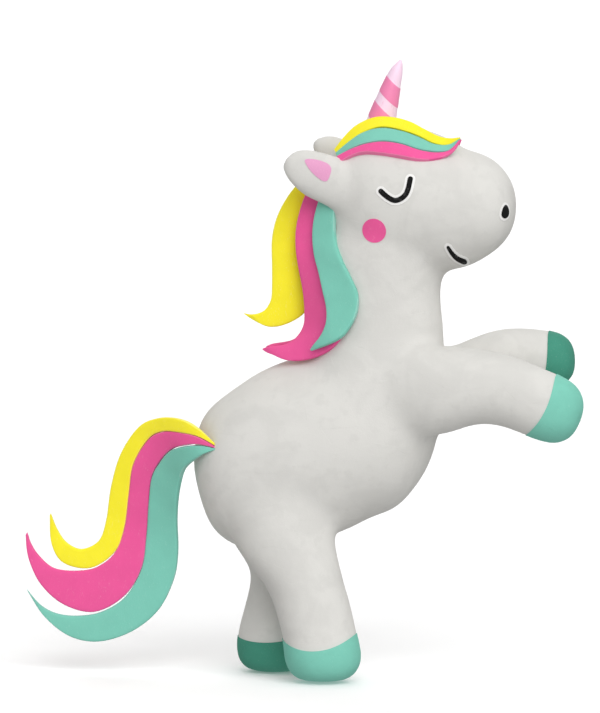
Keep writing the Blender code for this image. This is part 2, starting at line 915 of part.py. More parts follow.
def build_hair(skin, horn_room, ear_room):
    """Mane, forelock and tail."""
    strands = [
        ("mane_yellow", MANE_YELLOW, MANE_THICKNESS, "yellow"),
        ("tail_yellow", TAIL_YELLOW, TAIL_THICKNESS, "yellow"),
        ("tail_pink", TAIL_PINK, TAIL_THICKNESS, "pink"),
        ("tail_teal", TAIL_TEAL, TAIL_THICKNESS, "teal"),
    ]
    unshifted = (0.0, 0.0, 0.0)
    paired = [
        ("mane_pink", MANE_PINK_RIGHT, unshifted, MANE_THICKNESS - 2, "pink"),
        ("mane_teal", MANE_TEAL_RIGHT, unshifted, MANE_THICKNESS - 1, "teal"),
        ("forelock_yellow", FORELOCK_YELLOW_RIGHT, LEFT_LOCK_SHIFT, FORELOCK_THICKNESS, "yellow"),
        ("forelock_teal", FORELOCK_TEAL_RIGHT, LEFT_LOCK_SHIFT, FORELOCK_THICKNESS, "teal"),
        ("forelock_pink", FORELOCK_PINK_RIGHT, LEFT_LOCK_SHIFT, FORELOCK_THICKNESS, "pink"),
    ]
    for title, rungs, shift, thickness, colour in paired:
        strands.append((title + "_right", rungs, thickness, colour))
        strands.append((title + "_left", mirrored(rungs, shift), thickness, colour))
    for name, rungs, thickness, colour in strands:
        steps = 2 if name.startswith("tail") else 1
        lock = add_cutter("lock", strand(rungs, thickness, steps))
        combine(lock, skin, "DIFFERENCE")
        side = name.rsplit("_", 1)[1]
        if side in ear_room:
            combine(lock, ear_room[side], "DIFFERENCE")
        if name.startswith("forelock"):
            combine(lock, horn_room, "DIFFERENCE")
        finish(lock, name, colour)


def build_hatch(form):
    """The hatch's paper hinge in two halves and its pull tab."""
    window = add_cutter("window", prism(box_outline(*FLANK_BOX), DOOR_NEAR, FACE_REACH))
    block = copy_of(form, "flank_block")
    combine(block, window, "INTERSECT")
    low = SKIN_GAP
    high = SKIN_GAP + TAPE
    upper_start = HATCH_TOP + TAPE_GAP
    lower_start = HATCH_TOP - TAPE_GAP
    upper = box_outline(TAPE_LEFT, TAPE_RIGHT, upper_start, upper_start + TAPE_REACH)
    lower = box_outline(TAPE_LEFT, TAPE_RIGHT, lower_start - TAPE_REACH, lower_start)
    middle = (HATCH_LEFT + HATCH_RIGHT) / 2
    tab = rounded_box(
        middle - TAB_HALF_WIDTH,
        middle + TAB_HALF_WIDTH,
        TAB_BOTTOM,
        TAB_TOP,
        TAB_HALF_WIDTH * 0.6,
    )
    finish(layer(block, low, high, upper, FLANK_NEAR, FLANK_FAR), "hinge_tape_upper", "paper")
    finish(layer(block, low, high, lower, FLANK_NEAR, FLANK_FAR), "hinge_tape_lower", "paper")
    finish(layer(block, low, low + TAB, tab, FLANK_NEAR, FLANK_FAR), "door_tab", "pink")


clear_scene()
PINATA, CUTTERS = make_collections()
FORM, HOLLOW = pour_form()
SKIN = swollen(FORM, "skin", SKIN_GAP)
build_shells(FORM, HOLLOW)
build_hanger()
build_face(FORM)
EAR_ROOM = build_ears(SKIN)
HORN_ROOM = build_horn(SKIN)
build_hair(SKIN, HORN_ROOM, EAR_ROOM)
build_hatch(FORM)
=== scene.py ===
"""The looks of a hanging unicorn pinata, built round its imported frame.

The moulded skin, hooves, hair, horn, face pieces, eyelet and hatch are made again
here at full fineness. Lengths in the tables are millimetres on the frame's own
axes: +X the way the unicorn faces, +Y its left side, +Z up, from the eyelet.
"""
import json
import math

import bmesh
import bpy
from mathutils import Matrix, Vector, noise
from mathutils.bvhtree import BVHTree


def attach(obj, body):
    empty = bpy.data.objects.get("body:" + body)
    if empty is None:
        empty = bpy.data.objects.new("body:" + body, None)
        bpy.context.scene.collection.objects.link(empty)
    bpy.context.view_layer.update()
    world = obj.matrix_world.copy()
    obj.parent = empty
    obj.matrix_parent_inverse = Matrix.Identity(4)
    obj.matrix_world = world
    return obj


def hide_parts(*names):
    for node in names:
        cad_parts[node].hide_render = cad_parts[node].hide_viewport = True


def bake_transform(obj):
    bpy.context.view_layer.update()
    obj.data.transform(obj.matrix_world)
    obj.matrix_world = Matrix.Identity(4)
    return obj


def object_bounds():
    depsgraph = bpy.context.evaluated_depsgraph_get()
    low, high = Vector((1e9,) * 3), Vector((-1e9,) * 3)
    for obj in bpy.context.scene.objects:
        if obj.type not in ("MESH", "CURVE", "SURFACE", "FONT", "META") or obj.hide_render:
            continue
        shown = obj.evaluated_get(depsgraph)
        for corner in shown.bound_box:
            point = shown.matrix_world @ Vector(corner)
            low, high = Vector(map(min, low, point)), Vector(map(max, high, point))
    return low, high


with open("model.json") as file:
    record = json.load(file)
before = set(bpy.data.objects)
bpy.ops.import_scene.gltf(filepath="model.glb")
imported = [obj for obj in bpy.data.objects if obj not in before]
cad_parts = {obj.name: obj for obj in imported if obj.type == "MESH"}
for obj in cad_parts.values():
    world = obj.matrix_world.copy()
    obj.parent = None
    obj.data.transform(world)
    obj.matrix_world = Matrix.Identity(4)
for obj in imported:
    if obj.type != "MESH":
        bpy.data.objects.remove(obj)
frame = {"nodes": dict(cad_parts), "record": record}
CAD_LOW, CAD_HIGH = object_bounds()

MM = 0.001
ORIGIN = Vector((0, 0, 0))

# Camera and studio
CAMERA_AZIMUTH = 9.0
CAMERA_ELEVATION = 6.0
CAMERA_DISTANCE = 12.0
CAMERA_LENS = 673.3
CAMERA_REACH = 60.0
AIM_RIGHT = -45.0
AIM_UP = -196.65
FLOOR_RADIUS = 19.5
DOME_RADIUS = 20.0
FLOOR_DROP = 1.0
FLOOR_GLOW = 0.12
SKY_STRENGTH = 0.56

# Lights: azimuth, elevation, spread in degrees, strength
KEY_LIGHT = (25, 34, 50, 2.1)
BACK_FILL = (195, 40, 60, 0.8)

# Walls and clearances
WALL = 4.0
HOOF_PROUD = 0.6
HATCH_CLEARANCE = 0.6

# Mesh fineness
VOXEL = 2.0
HOLLOW_VOXEL = 4.0
BODY_SMOOTHING = 144
EAR_SMOOTHING = 30

# The solid masses: path x, path z, radius in the side view, half width across,
# and for a leg or an ear its distance from the middle plane
TORSO = [
    (-143, -293, 8, 7),
    (-139, -291, 24, 21),
    (-134, -294, 40, 32),
    (-126, -299, 55, 43),
    (-113, -300, 67, 54),
    (-99, -298, 75, 60),
    (-86, -294, 80, 63),
    (-59, -287, 85, 65),
    (-30, -279, 85, 65),
    (-4, -272, 84, 64),
    (22, -266, 77, 60),
    (37, -263, 75, 57),
    (50, -261, 67, 52),
    (64, -260, 50, 43),
    (72, -259, 36, 34),
    (79, -260, 15, 15),
]
NECK = [
    (14, -262, 56, 52),
    (20, -235, 64, 57),
    (25, -205, 61, 51),
    (28, -173, 58, 45),
    (27, -146, 56, 44),
    (27, -124, 57, 44),
    (30, -100, 57, 45),
    (32, -80, 50, 40),
    (34, -62, 34, 26),
]
HEAD = [
    (-20, -60, 22, 20),
    (-12, -58, 36, 32),
    (0, -54, 49, 41),
    (22, -51, 65, 50),
    (46, -53, 67, 52),
    (68, -56, 62, 51),
    (91, -62, 57, 48),
    (105, -61, 53, 46),
    (119, -60, 49, 45),
    (135, -60, 39, 39),
    (146, -60, 25, 27),
    (151, -60, 11, 13),
]
HIND_LEG_RIGHT = [
    (-66, -268, 22, 12, 26),
    (-64, -288, 42, 24, 29),
    (-60, -322, 48, 31, 32),
    (-54, -362, 46, 32, 34),
    (-43, -388, 41, 32, 35),
    (-36.5, -400, 37.5, 31, 35),
    (-30, -416, 36, 31, 35),
    (-24, -440, 35, 31, 35),
    (-20, -456, 35, 32, 35),
    (-19, -468, 36, 32, 35),
    (-19, -480, 32, 29, 35),
    (-20, -488, 23, 20, 35),
]
HIND_LEG_LEFT = [
    (-70, -268, 22, 12, 26),
    (-72, -288, 40, 24, 29),
    (-73, -322, 48, 31, 32),
    (-71, -362, 46, 32, 34),
    (-68, -382, 39, 31, 35),
    (-63, -397, 34, 30, 35),
    (-63, -408, 34, 30, 35),
    (-66.5, -424, 34.5, 30, 35),
    (-70, -440, 35, 31, 35),
    (-73, -454, 36, 31, 35),
    (-74, -468, 36, 32, 35),
    (-74, -480, 34, 30, 35),
    (-74, -489, 25, 21, 35),
]
FORELEG_RIGHT = [
    (10, -232, 24, 10, 20),
    (32, -229, 40, 23, 26),
    (60, -225, 43, 29, 31),
    (88, -223, 41, 31, 34),
    (115, -219, 36, 31, 35),
    (142, -221, 33, 30, 35),
    (168, -230, 32, 29, 35),
    (190, -239, 31.5, 28, 35),
    (205, -245.5, 27, 24, 35),
    (214, -249, 15, 14, 35),
]
FORELEG_LEFT = [
    (10, -240, 24, 10, 20),
    (32, -237, 40, 23, 26),
    (56, -232, 42, 29, 30),
    (78, -227, 39, 31, 34),
    (97, -221, 33, 30, 35),
    (116, -211, 31, 29, 35),
    (135, -202, 29, 28, 35),
    (152, -200, 28, 27, 35),
    (176, -201, 27, 26, 35),
    (191, -202, 23.5, 22, 35),
    (200, -202, 14.5, 13, 35),
]
EAR_RIGHT = [
    (-53, -17, 3, 2, 45),
    (-49, -19, 11, 6, 44),
    (-39, -23, 18, 8, 42),
    (-25, -30, 22, 10, 38),
    (-10, -37, 23, 11, 32),
    (8, -44, 24, 12, 31),
    (24, -48, 22, 12, 30),
]
EAR_LEFT = [
    (-41, -14, 3, 2, 42),
    (-36, -13, 10, 6, 41),
    (-25, -16, 16, 8, 39),
    (-12, -24, 20, 10, 34),
    (2, -33, 21, 11, 28),
    (18, -40, 22, 12, 29),
    (32, -44, 20, 12, 30),
]

# Hoof lines, an arc each: centre x and z, radius, and the side the hoof is on
HOOF_HALF_CHORD = 50.0
HOOF_ZONE_LENGTH = 150.0
HOOF_LINES = {
    "hoof_hind_right": (-26, -399, 59, -90),
    "hoof_hind_left": (-82, -340, 120, -90),
    "hoof_fore_right": (126, -208, 67, -30),
    "hoof_fore_left": (90, -192, 88, 0),
}

# The rolled card horn: x, z, radius
HORN = [
    (25, 4, 14.2),
    (29, 17, 12.8),
    (34, 35, 10.2),
    (38, 48, 8.1),
    (42, 60, 6.0),
    (45, 67.5, 3.0),
    (46, 71, 0.9),
]
HORN_SLANT = 0.83
HORN_BAND_RISE = 25.2
HORN_PALE_CENTRE = 31.6
HORN_TIP_LEVEL = 56.8
HORN_PALE_FROM = 0.67
HORN_RELIEF = 0.35
HORN_TINT_EDGE = 0.04
HORN_RELIEF_EDGE = 0.06
HORN_STEPS = 10
HORN_SIDES = 72

# Hair, as rungs across each strand from one edge to the other
STRAND_INSET = 0.05
TUCKED_INSET = -1.2
STRAND_SIDES = 32
STRAND_STEPS = 7
STRAND_SQUARENESS = 0.3
MANE_THICKNESS = 7.0
MANE_YELLOW = [
    (-6, 0, -28, -6, 0, -44),
    (-22, 0, -27, -16, 0, -50),
    (-40, 0, -35, -24, 0, -56),
    (-55, 0, -51, -31, 0, -66),
    (-66, 0, -71, -38, 0, -80),
    (-71, 0, -92, -41, 0, -95),
    (-71, 0, -115, -40, 0, -117),
    (-71, 0, -135, -38, 0, -140),
    (-72, 0, -147, -40, 0, -157),
    (-77, 0, -156, -55, 0, -168),
    (-84, 0, -160, -72, 0, -172),
    (-91, 0, -161, -86, 0, -167),
    (-97, 0, -160, -96, 0, -161),
]
MANE_PINK_RIGHT = [
    (-9, -7, -34, -6, -13, -46),
    (-24, -8, -36, -16, -13, -50),
    (-36, -9, -46, -24, -13, -56),
    (-43, -10, -63, -28, -14, -68),
    (-47, -11, -82, -29, -16, -82),
    (-47, -12, -100, -26, -19, -100),
    (-44, -13, -118, -21, -25, -118),
    (-40, -15, -136, -14, -32, -136),
    (-38, -17, -155, -8, -38, -152),
    (-39, -18, -169, -3, -41, -165),
    (-46, -18, -180, -1, -43, -175),
    (-56, -17, -186, -12, -38, -188),
    (-66, -15, -188, -30, -31, -197),
    (-73, -13, -189, -50, -24, -200),
    (-76, -11, -190, -65, -17, -196),
    (-78, -10, -191, -77, -10, -192),
]
MANE_TEAL_RIGHT = [
    (-10, -20, -40, -4, -27, -48),
    (-21, -21, -48, -8, -29, -57),
    (-28, -21.8, -68, -9, -29.5, -70),
    (-30, -22.8, -86, -8, -31.5, -88),
    (-28, -26, -103, -2, -39, -105),
    (-23, -32, -119, 7, -43.5, -121),
    (-19, -37, -134, 14, -45.5, -136),
    (-15, -40, -150, 14, -47, -152),
    (-15, -42, -164, 7, -49, -167),
    (-20, -41.5, -176, -4, -49.5, -178),
    (-30, -38, -188, -29, -39, -189),
]
FORELOCK_THICKNESS = 8.0
LEFT_LOCK_SHIFT = (-7.0, 5.0, -4.5)
FORELOCK_YELLOW_RIGHT = [
    (-11, -18, -9, -9, -20, -12),
    (-2, -18, 2, 3, -22, -3),
    (9, -17, 12, 17, -23, 6),
    (24, -17, 19, 32, -23, 11),
    (39, -17, 20, 48, -23, 9),
    (54, -17, 17, 64, -23, 4),
    (68, -18, 11, 77, -23, -2),
    (82, -20, 5, 88, -23, -4),
    (93, -22, 3, 96, -23, -2),
    (103, -24, 4, 103, -24, 3),
]
FORELOCK_TEAL_RIGHT = [
    (-9, -21, -12, -7, -24, -15),
    (3, -23, -3, 7, -30, -8),
    (17, -24, 6, 21, -33, -3),
    (32, -24, 10, 36, -34, -1),
    (48, -24, 8, 51, -34, -3),
    (64, -24, 3, 67, -33, -8),
    (77, -24, -3, 81, -31, -10),
    (88, -24, -4, 92, -28, -9),
    (96, -24, -2, 98, -26, -5),
    (103, -25, 3, 103, -25, 2),
]
FORELOCK_PINK_RIGHT = [
    (-6, -30, -14, -4, -34, -20),
    (7, -33, -7.5, 8, -37, -13),
    (21, -34, -3, 20, -40, -10),
    (36, -35, -1, 35, -42, -11),
    (51, -35, -3, 51, -43, -13),
    (67, -34, -8, 67, -41, -16),
    (81, -32, -10, 80, -37, -16),
    (92, -29, -9, 93, -32, -12),
    (98, -27, -5, 100, -29, -6),
    (103, -26, 2, 104, -26, 1),
]
TAIL_THICKNESS = 7.0
TAIL_YELLOW = [
    (-116, -47, -273, -116, -48, -275),
    (-131, -42, -261, -131, -43, -268),
    (-148, -31, -254, -148, -33, -266),
    (-169, -18, -254, -167, -20, -266.5),
    (-190, -9, -263, -181.5, -12, -274.5),
    (-208, -5, -288, -196, -7, -297.5),
    (-218, -2, -319, -201, -3, -324),
    (-223, 0, -350, -206, 0, -356),
    (-230, 0, -369, -215, 0, -379),
    (-246, 0, -377, -237, 0, -394),
    (-260, 0, -371, -262, 0, -390),
    (-269, 0, -358, -273, 0, -373),
    (-274, 0, -345, -275, 0, -347),
]
TAIL_PINK = [
    (-116, -48, -276, -116, -48, -277),
    (-131, -43, -269, -131, -43, -274),
    (-148, -33, -267, -146, -35, -276),
    (-166, -21, -267.5, -159, -24, -281),
    (-180.5, -13, -275.5, -170.5, -16, -292),
    (-195, -8, -298, -179.5, -10, -307),
    (-200, -4, -325, -183.5, -5, -331),
    (-205, 0, -357, -186.5, 0, -361),
    (-214, 0, -380, -191.5, 0, -392.5),
    (-231, 0, -394, -207, 0, -418),
    (-250, 0, -398, -234, 0, -433),
    (-271, 0, -396, -262, 0, -427),
    (-285, 0, -385, -283, 0, -409),
    (-293, 0, -373, -294, 0, -386),
    (-296, 0, -363, -297, 0, -365),
]
TAIL_TEAL = [
    (-115, -48, -278, -115, -48, -279),
    (-130, -43, -276, -125, -45, -283),
    (-146, -35, -278, -136, -39, -290),
    (-159, -25, -283, -146, -31, -299),
    (-169.5, -17, -294, -151, -23, -311),
    (-178.5, -11, -309, -155, -15, -329),
    (-182.5, -6, -333, -157, -7, -350),
    (-185.5, -1, -362, -157, -2, -378),
    (-190.5, 0, -393.5, -161, 0, -403),
    (-206, 0, -420, -175, 0, -431),
    (-228, 0, -434, -199, 0, -451),
    (-250, 0, -438, -229, 0, -461),
    (-270, 0, -436, -256, 0, -457),
    (-285, 0, -428, -279, 0, -440),
    (-296, 0, -415, -295, 0, -417),
]

# Face pieces, as lines and rungs in the side view
STICKER_GAP = 0.12
STICKER_THICKNESS = 0.35
STICKER_COLUMNS = 10
BORDER = 2.2
EYE_LINE = [(62, -32), (60, -42), (56, -48), (49, -51), (42, -48), (36, -43)]
EYE_LINE_WIDTH = 4.6
MOUTH_LINE = [(95, -93.5), (98, -99.5), (102, -104.5), (106.5, -107.5)]
MOUTH_LINE_WIDTH = 5.6
MOUTH_TAPER = 0.5
CHEEK = (29, -79, 11.0)
NOSTRIL = (144.7, -62, 5.2, 6.0)
NOSTRIL_NARROWING = 0.25
NOSTRIL_TURN = 50.0
INNER_EAR_RUNGS = {
    "right": [
        (-34.6, -13.8, -34.8, -14.6),
        (-31.5, -12.9, -33.2, -18.4),
        (-25, -13.4, -28.6, -25),
        (-18, -15.3, -22.6, -31),
        (-12.5, -18, -17.4, -34.8),
        (-9.4, -22, -13.4, -35),
        (-9.2, -25.6, -11, -31.6),
    ],
    "left": [
        (-25.4, -7.8, -25.6, -8.6),
        (-22, -7.4, -24, -12.5),
        (-16, -9, -19.8, -19.4),
        (-10.5, -11.4, -15, -24.6),
        (-6, -14, -11, -27.6),
        (-3.4, -17, -7.6, -27.6),
        (-3.2, -20, -5, -25),
    ],
}
INNER_EAR_ROOTS = {"right": (-22, -35), "left": (-14, -27.6)}
INNER_EAR_SHARE = 0.9
INNER_EAR_STEPS = 6

# Filling hatch in the left flank
HATCH_LEFT = -66.0
HATCH_RIGHT = 4.0
HATCH_TOP = -250.0
HATCH_BOTTOM = -312.0
HATCH_CORNER = 12.0
FLANK_NEAR = 10.0
TAPE_LEFT = -50.0
TAPE_RIGHT = -12.0
TAPE_REACH = 15.0
TAPE_THICKNESS = 0.4
TAB_HALF_WIDTH = 8.0
TAB_TOP = -298.0
TAB_BOTTOM = -326.0
TAB_THICKNESS = 0.9
HATCH_PAPER_GAP = 0.15

# Hanging eyelet
EYELET_TILT = -38.0
EYELET_HOLE = 2.0
EYELET_BARREL = 3.4
EYELET_FLANGE = 7.0
EYELET_RIM = 1.2
EYELET_DEPTH = 12.0
EYELET_SEAT_REACH = 30.0
SEAM = 0.3

# How far the cutting shapes and the sight lines reach across the body
REACH = 260.0

# Colours of the horn's two shades and of the unpainted inside
HORN_PINK = (0.84, 0.23, 0.43)
HORN_PALE = (0.90, 0.66, 0.81)
RAW_PULP = (0.40, 0.36, 0.31)


# ---------------------------------------------------------------- mesh helpers


def add_object(name, shape):
    """Link a bmesh or a mesh into the scene as a named object."""
    if isinstance(shape, bmesh.types.BMesh):
        mesh = bpy.data.meshes.new(name)
        shape.to_mesh(mesh)
        shape.free()
    else:
        mesh = shape
    item = bpy.data.objects.new(name, mesh)
    bpy.context.scene.collection.objects.link(item)
    return item


def settle(item):
    """Work the modifiers of an object into its mesh."""
    graph = bpy.context.evaluated_depsgraph_get()
    graph.update()
    mesh = bpy.data.meshes.new_from_object(item.evaluated_get(graph))
    item.modifiers.clear()
    item.data = mesh
    return item


def copy_of(item, name):
    """A separate object with a copy of an object's mesh."""
    return add_object(name, item.data.copy())


def discard(*items):
    """Take away objects that only served to shape others."""
    for item in items:
        bpy.data.objects.remove(item, do_unlink=True)


def combine(item, cutter, operation):
    """Cut, keep or join two closed shapes, worked in at once."""
    change = item.modifiers.new(operation.lower(), "BOOLEAN")
    change.operation = operation
    change.solver = "MANIFOLD"
    change.object = cutter
    return settle(item)


def swollen(item, name, distance):
    """A copy of a solid with its skin moved out by a distance."""
    made = copy_of(item, name)
    push = made.modifiers.new("push", "DISPLACE")
    push.direction = "NORMAL"
    push.mid_level = 0.0
    push.strength = distance * MM
    return settle(made)


def remesh(item, voxel):
    """One even closed skin over everything the object holds."""
    even = item.modifiers.new("even", "REMESH")
    even.mode = "VOXEL"
    even.voxel_size = voxel * MM
    return settle(item)


def relax(item, times):
    """Smooth the skin of an object."""
    ease = item.modifiers.new("ease", "SMOOTH")
    ease.factor = 0.5
    ease.iterations = times
    return settle(item)


def smooth_rows(rows, steps):
    """A Catmull-Rom curve through rows of numbers."""
    made = []
    last = len(rows) - 1
    for i in range(last):
        before = rows[max(i - 1, 0)]
        after = rows[min(i + 2, last)]
        for k in range(steps):
            t = k / steps
            row = []
            for a, b, c, d in zip(before, rows[i], rows[i + 1], after):
                bend = 2 * a - 5 * b + 4 * c - d
                twist = 3 * b - a - 3 * c + d
                row.append(b + 0.5 * t * (c - a + t * (bend + t * twist)))
            made.append(row)
    made.append([float(value) for value in rows[last]])
    return made


def direction_at(points, i):
    """The unit direction of a path of points at one of them."""
    step = points[min(i + 1, len(points) - 1)] - points[max(i - 1, 0)]
    return step.normalized()


def placing(centre, first, second, third):
    """The matrix that sets a unit circle at a centre, on two axes, in metres."""
    columns = Matrix((first, second, third)).transposed().to_4x4()
    columns.translation = centre
    return Matrix.Scale(MM, 4) @ columns


def loft(shape, places, sides, squareness=1.0):
    """A closed tube through circles set in place by matrices, round or squarer."""
    loops = []
    for place in places:
        verts = bmesh.ops.create_circle(shape, segments=sides, radius=1.0)["verts"]
        for vert in verts:
            vert.co.x = math.copysign(abs(vert.co.x) ** squareness, vert.co.x)
            vert.co.y = math.copysign(abs(vert.co.y) ** squareness, vert.co.y)
        bmesh.ops.transform(shape, matrix=place, verts=verts)
        loops.append(list(dict.fromkeys(edge for vert in verts for edge in vert.link_edges)))
    for first, second in zip(loops, loops[1:]):
        bmesh.ops.bridge_loops(shape, edges=first + second)
    for end in (loops[0], loops[-1]):
        bmesh.ops.contextual_create(shape, geom=end)
    bmesh.ops.recalc_face_normals(shape, faces=shape.faces)


def limb(shape, stations, sign=0, steps=4, sides=32, level=None):
    """A fat closed tube of ellipses along a path in the side view.

    A fifth number in a station is its distance from the middle plane, on
    the side that the sign gives. The ellipses lie square to the path, or
    square to the level direction if one is given.
    """
    rows = smooth_rows(stations, steps)
    path = []
    for row in rows:
        across = sign * row[4] if sign else 0.0
        path.append(Vector((row[0], across, row[1])))
    side = Vector((0, 1, 0))
    places = []
    for i, row in enumerate(rows):
        along = level or direction_at(path, i)
        up = side.cross(along).normalized()
        radius = max(row[2], 0.5)
        width = max(row[3], 0.5)
        places.append(placing(path[i], side * width, up * radius, along))
    loft(shape, places, sides)


def prism(outline, near, far):
    """An outline in the side view, extruded from one distance across to another."""
    shape = bmesh.new()
    verts = [shape.verts.new(Vector((x, near, z)) * MM) for x, z in outline]
    face = shape.faces.new(verts)
    grown = bmesh.ops.extrude_face_region(shape, geom=[face])["geom"]
    moved = [part for part in grown if isinstance(part, bmesh.types.BMVert)]
    bmesh.ops.translate(shape, vec=(0, (far - near) * MM, 0), verts=moved)
    bmesh.ops.recalc_face_normals(shape, faces=shape.faces)
    return shape


def arc(centre_x, centre_z, radius, start, end, count):
    """Points along an arc in the side view, angles in degrees."""
    made = []
    for k in range(count + 1):
        turn = math.radians(start + (end - start) * k / count)
        made.append((centre_x + radius * math.cos(turn), centre_z + radius * math.sin(turn)))
    return made


def rounded_box(left, right, bottom, top, corner, count=10):
    """A rectangle with round corners."""
    outline = arc(right - corner, top - corner, corner, 0, 90, count)
    outline += arc(left + corner, top - corner, corner, 90, 180, count)
    outline += arc(left + corner, bottom + corner, corner, 180, 270, count)
    outline += arc(right - corner, bottom + corner, corner, 270, 360, count)
    return outline


def shade(item, sharp_degrees=40):
    """Smooth shading, broken at edges sharper than an angle."""
    item.data.shade_smooth()
    item.data.set_sharp_from_angle(angle=math.radians(sharp_degrees))
    return item


def finish(item, name, finish_name, body="pinata", nodes=(), sharp_degrees=40):
    """Name a finished piece, give it its finish and set it on its body."""
    item.name = name
    item.data.name = name
    if not any(item.data.materials):
        item.data.materials.clear()
        item.data.materials.append(FINISHES[finish_name])
    shade(item, sharp_degrees)
    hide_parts(*(nodes or [name]))
    if body:
        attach(item, body)
    return item


# ---------------------------------------------------------------- materials


class Recipe:
    """A node material being put together round one Principled shader."""

    def __init__(self, title, colour, roughness, **constants):
        self.material = bpy.data.materials.new(title)
        self.material.use_nodes = True
        self.tree = self.material.node_tree
        self.shader = self.tree.nodes["Principled BSDF"]
        self.shader.inputs["Base Color"].default_value = (*colour, 1.0)
        self.shader.inputs["Roughness"].default_value = roughness
        for socket, value in constants.items():
            self.shader.inputs[socket.replace("_", " ")].default_value = value
        self.colour = None
        self.flat_colour = colour
        self.place = self.tree.nodes.new("ShaderNodeTexCoord").outputs["Object"]
        self.bump = None

    def node(self, kind, **settings):
        """A node with its plain properties set."""
        made = self.tree.nodes.new(kind)
        for name, value in settings.items():
            setattr(made, name, value)
        return made

    def link(self, source, target):
        """Join an output to an input."""
        self.tree.links.new(source, target)

    def stretched(self, scale, turn=(0.0, 0.0, 0.0)):
        """Object coordinates, turned and scaled unevenly."""
        mapping = self.node("ShaderNodeMapping")
        mapping.inputs["Scale"].default_value = scale
        mapping.inputs["Rotation"].default_value = turn
        self.link(self.place, mapping.inputs["Vector"])
        return mapping.outputs["Vector"]

    def grain(self, scale, detail=4.0, roughness=0.55, distortion=0.0, place=None):
        """Noise between 0 and 1, its scale in features per metre."""
        made = self.node("ShaderNodeTexNoise")
        made.inputs["Scale"].default_value = scale
        made.inputs["Detail"].default_value = detail
        made.inputs["Roughness"].default_value = roughness
        made.inputs["Distortion"].default_value = distortion
        self.link(place or self.place, made.inputs["Vector"])
        return made.outputs["Fac"]

    def cells(self, scale, feature="F1", output="Distance", place=None):
        """Voronoi cells, their scale in cells per metre."""
        made = self.node("ShaderNodeTexVoronoi", feature=feature)
        made.inputs["Scale"].default_value = scale
        self.link(place or self.place, made.inputs["Vector"])
        return made.outputs[output]

    def span(self, value, low, high, new_low=0.0, new_high=1.0):
        """A value brought from one range to another, clamped."""
        made = self.node("ShaderNodeMapRange", interpolation_type="SMOOTHSTEP")
        made.inputs["From Min"].default_value = low
        made.inputs["From Max"].default_value = high
        made.inputs["To Min"].default_value = new_low
        made.inputs["To Max"].default_value = new_high
        self.link(value, made.inputs["Value"])
        return made.outputs["Result"]

    def attribute(self, name):
        """A number kept on the piece's own points."""
        return self.node("ShaderNodeAttribute", attribute_name=name).outputs["Fac"]

    def tint(self, share, colour, strength=1.0, blend="MIX"):
        """Lay a colour over what there is, by a share between 0 and 1."""
        if strength != 1.0:
            share = self.span(share, 0.0, 1.0, 0.0, strength)
        mix = self.node("ShaderNodeMix", data_type="RGBA", blend_type=blend)
        factor, first, second = mix.inputs[0], mix.inputs[6], mix.inputs[7]
        first.default_value = (*self.flat_colour, 1.0)
        second.default_value = (*colour, 1.0)
        self.link(share, factor)
        if self.colour:
            self.link(self.colour, first)
        self.colour = mix.outputs[2]
        self.link(self.colour, self.shader.inputs["Base Color"])

    def relief(self, height, distance, strength=1.0):
        """Raise the surface by a height between 0 and 1, in millimetres at most."""
        made = self.node("ShaderNodeBump")
        made.inputs["Strength"].default_value = strength
        made.inputs["Distance"].default_value = distance * MM
        self.link(height, made.inputs["Height"])
        if self.bump:
            self.link(self.bump, made.inputs["Normal"])
        self.bump = made.outputs["Normal"]
        self.link(self.bump, self.shader.inputs["Normal"])

    def rough(self, value, low, high):
        """Let the roughness vary with a value between 0 and 1."""
        self.link(self.span(value, 0.25, 0.75, low, high), self.shader.inputs["Roughness"])


def darker(colour, share):
    """A colour with its light cut to a share."""
    return tuple(value * share for value in colour)


def paler(colour, share):
    """A colour moved towards white by a share."""
    return tuple(value + (1.0 - value) * share for value in colour)


def painted_pulp(title, colour, cloud=0.06, strips=0.12):
    """Matt paint over layered paper scraps: clouds, scrap edges, pulp grain, flecks."""
    made = Recipe(title, colour, 0.85, Specular_IOR_Level=0.25)
    clouds = made.grain(26, detail=3.0, distortion=0.6)
    made.tint(made.span(clouds, 0.40, 0.66), darker(colour, 1 - cloud))
    blotches = made.grain(75, detail=5.0)
    made.tint(made.span(blotches, 0.50, 0.70), darker(colour, 1 - cloud), 0.8)
    slant = made.stretched((1.0, 0.8, 2.2), (0.3, 0.5, 0.2))
    scraps = made.cells(26, output="Color", place=slant)
    fibres = made.grain(900, detail=6.0, roughness=0.7)
    made.tint(made.span(fibres, 0.60, 0.72), darker(colour, 0.80), 0.35)
    made.tint(made.span(fibres, 0.42, 0.30), paler(colour, 0.4), 0.25)
    made.rough(blotches, 0.78, 0.92)
    made.relief(scraps, strips)
    made.relief(blotches, 0.35)
    made.relief(fibres, 0.12)
    return made.material


def raw_pulp(title, colour):
    """The unpainted inside: grey-brown pulp with coarse fibres and flecks."""
    made = Recipe(title, colour, 0.95, Specular_IOR_Level=0.15)
    lumps = made.grain(120, detail=6.0)
    made.tint(made.span(lumps, 0.3, 0.7), darker(colour, 0.7))
    flecks = made.cells(700)
    made.tint(made.span(flecks, 0.22, 0.12), darker(colour, 0.35), 0.6)
    made.relief(lumps, 0.8)
    made.relief(made.grain(1100), 0.2)
    return made.material


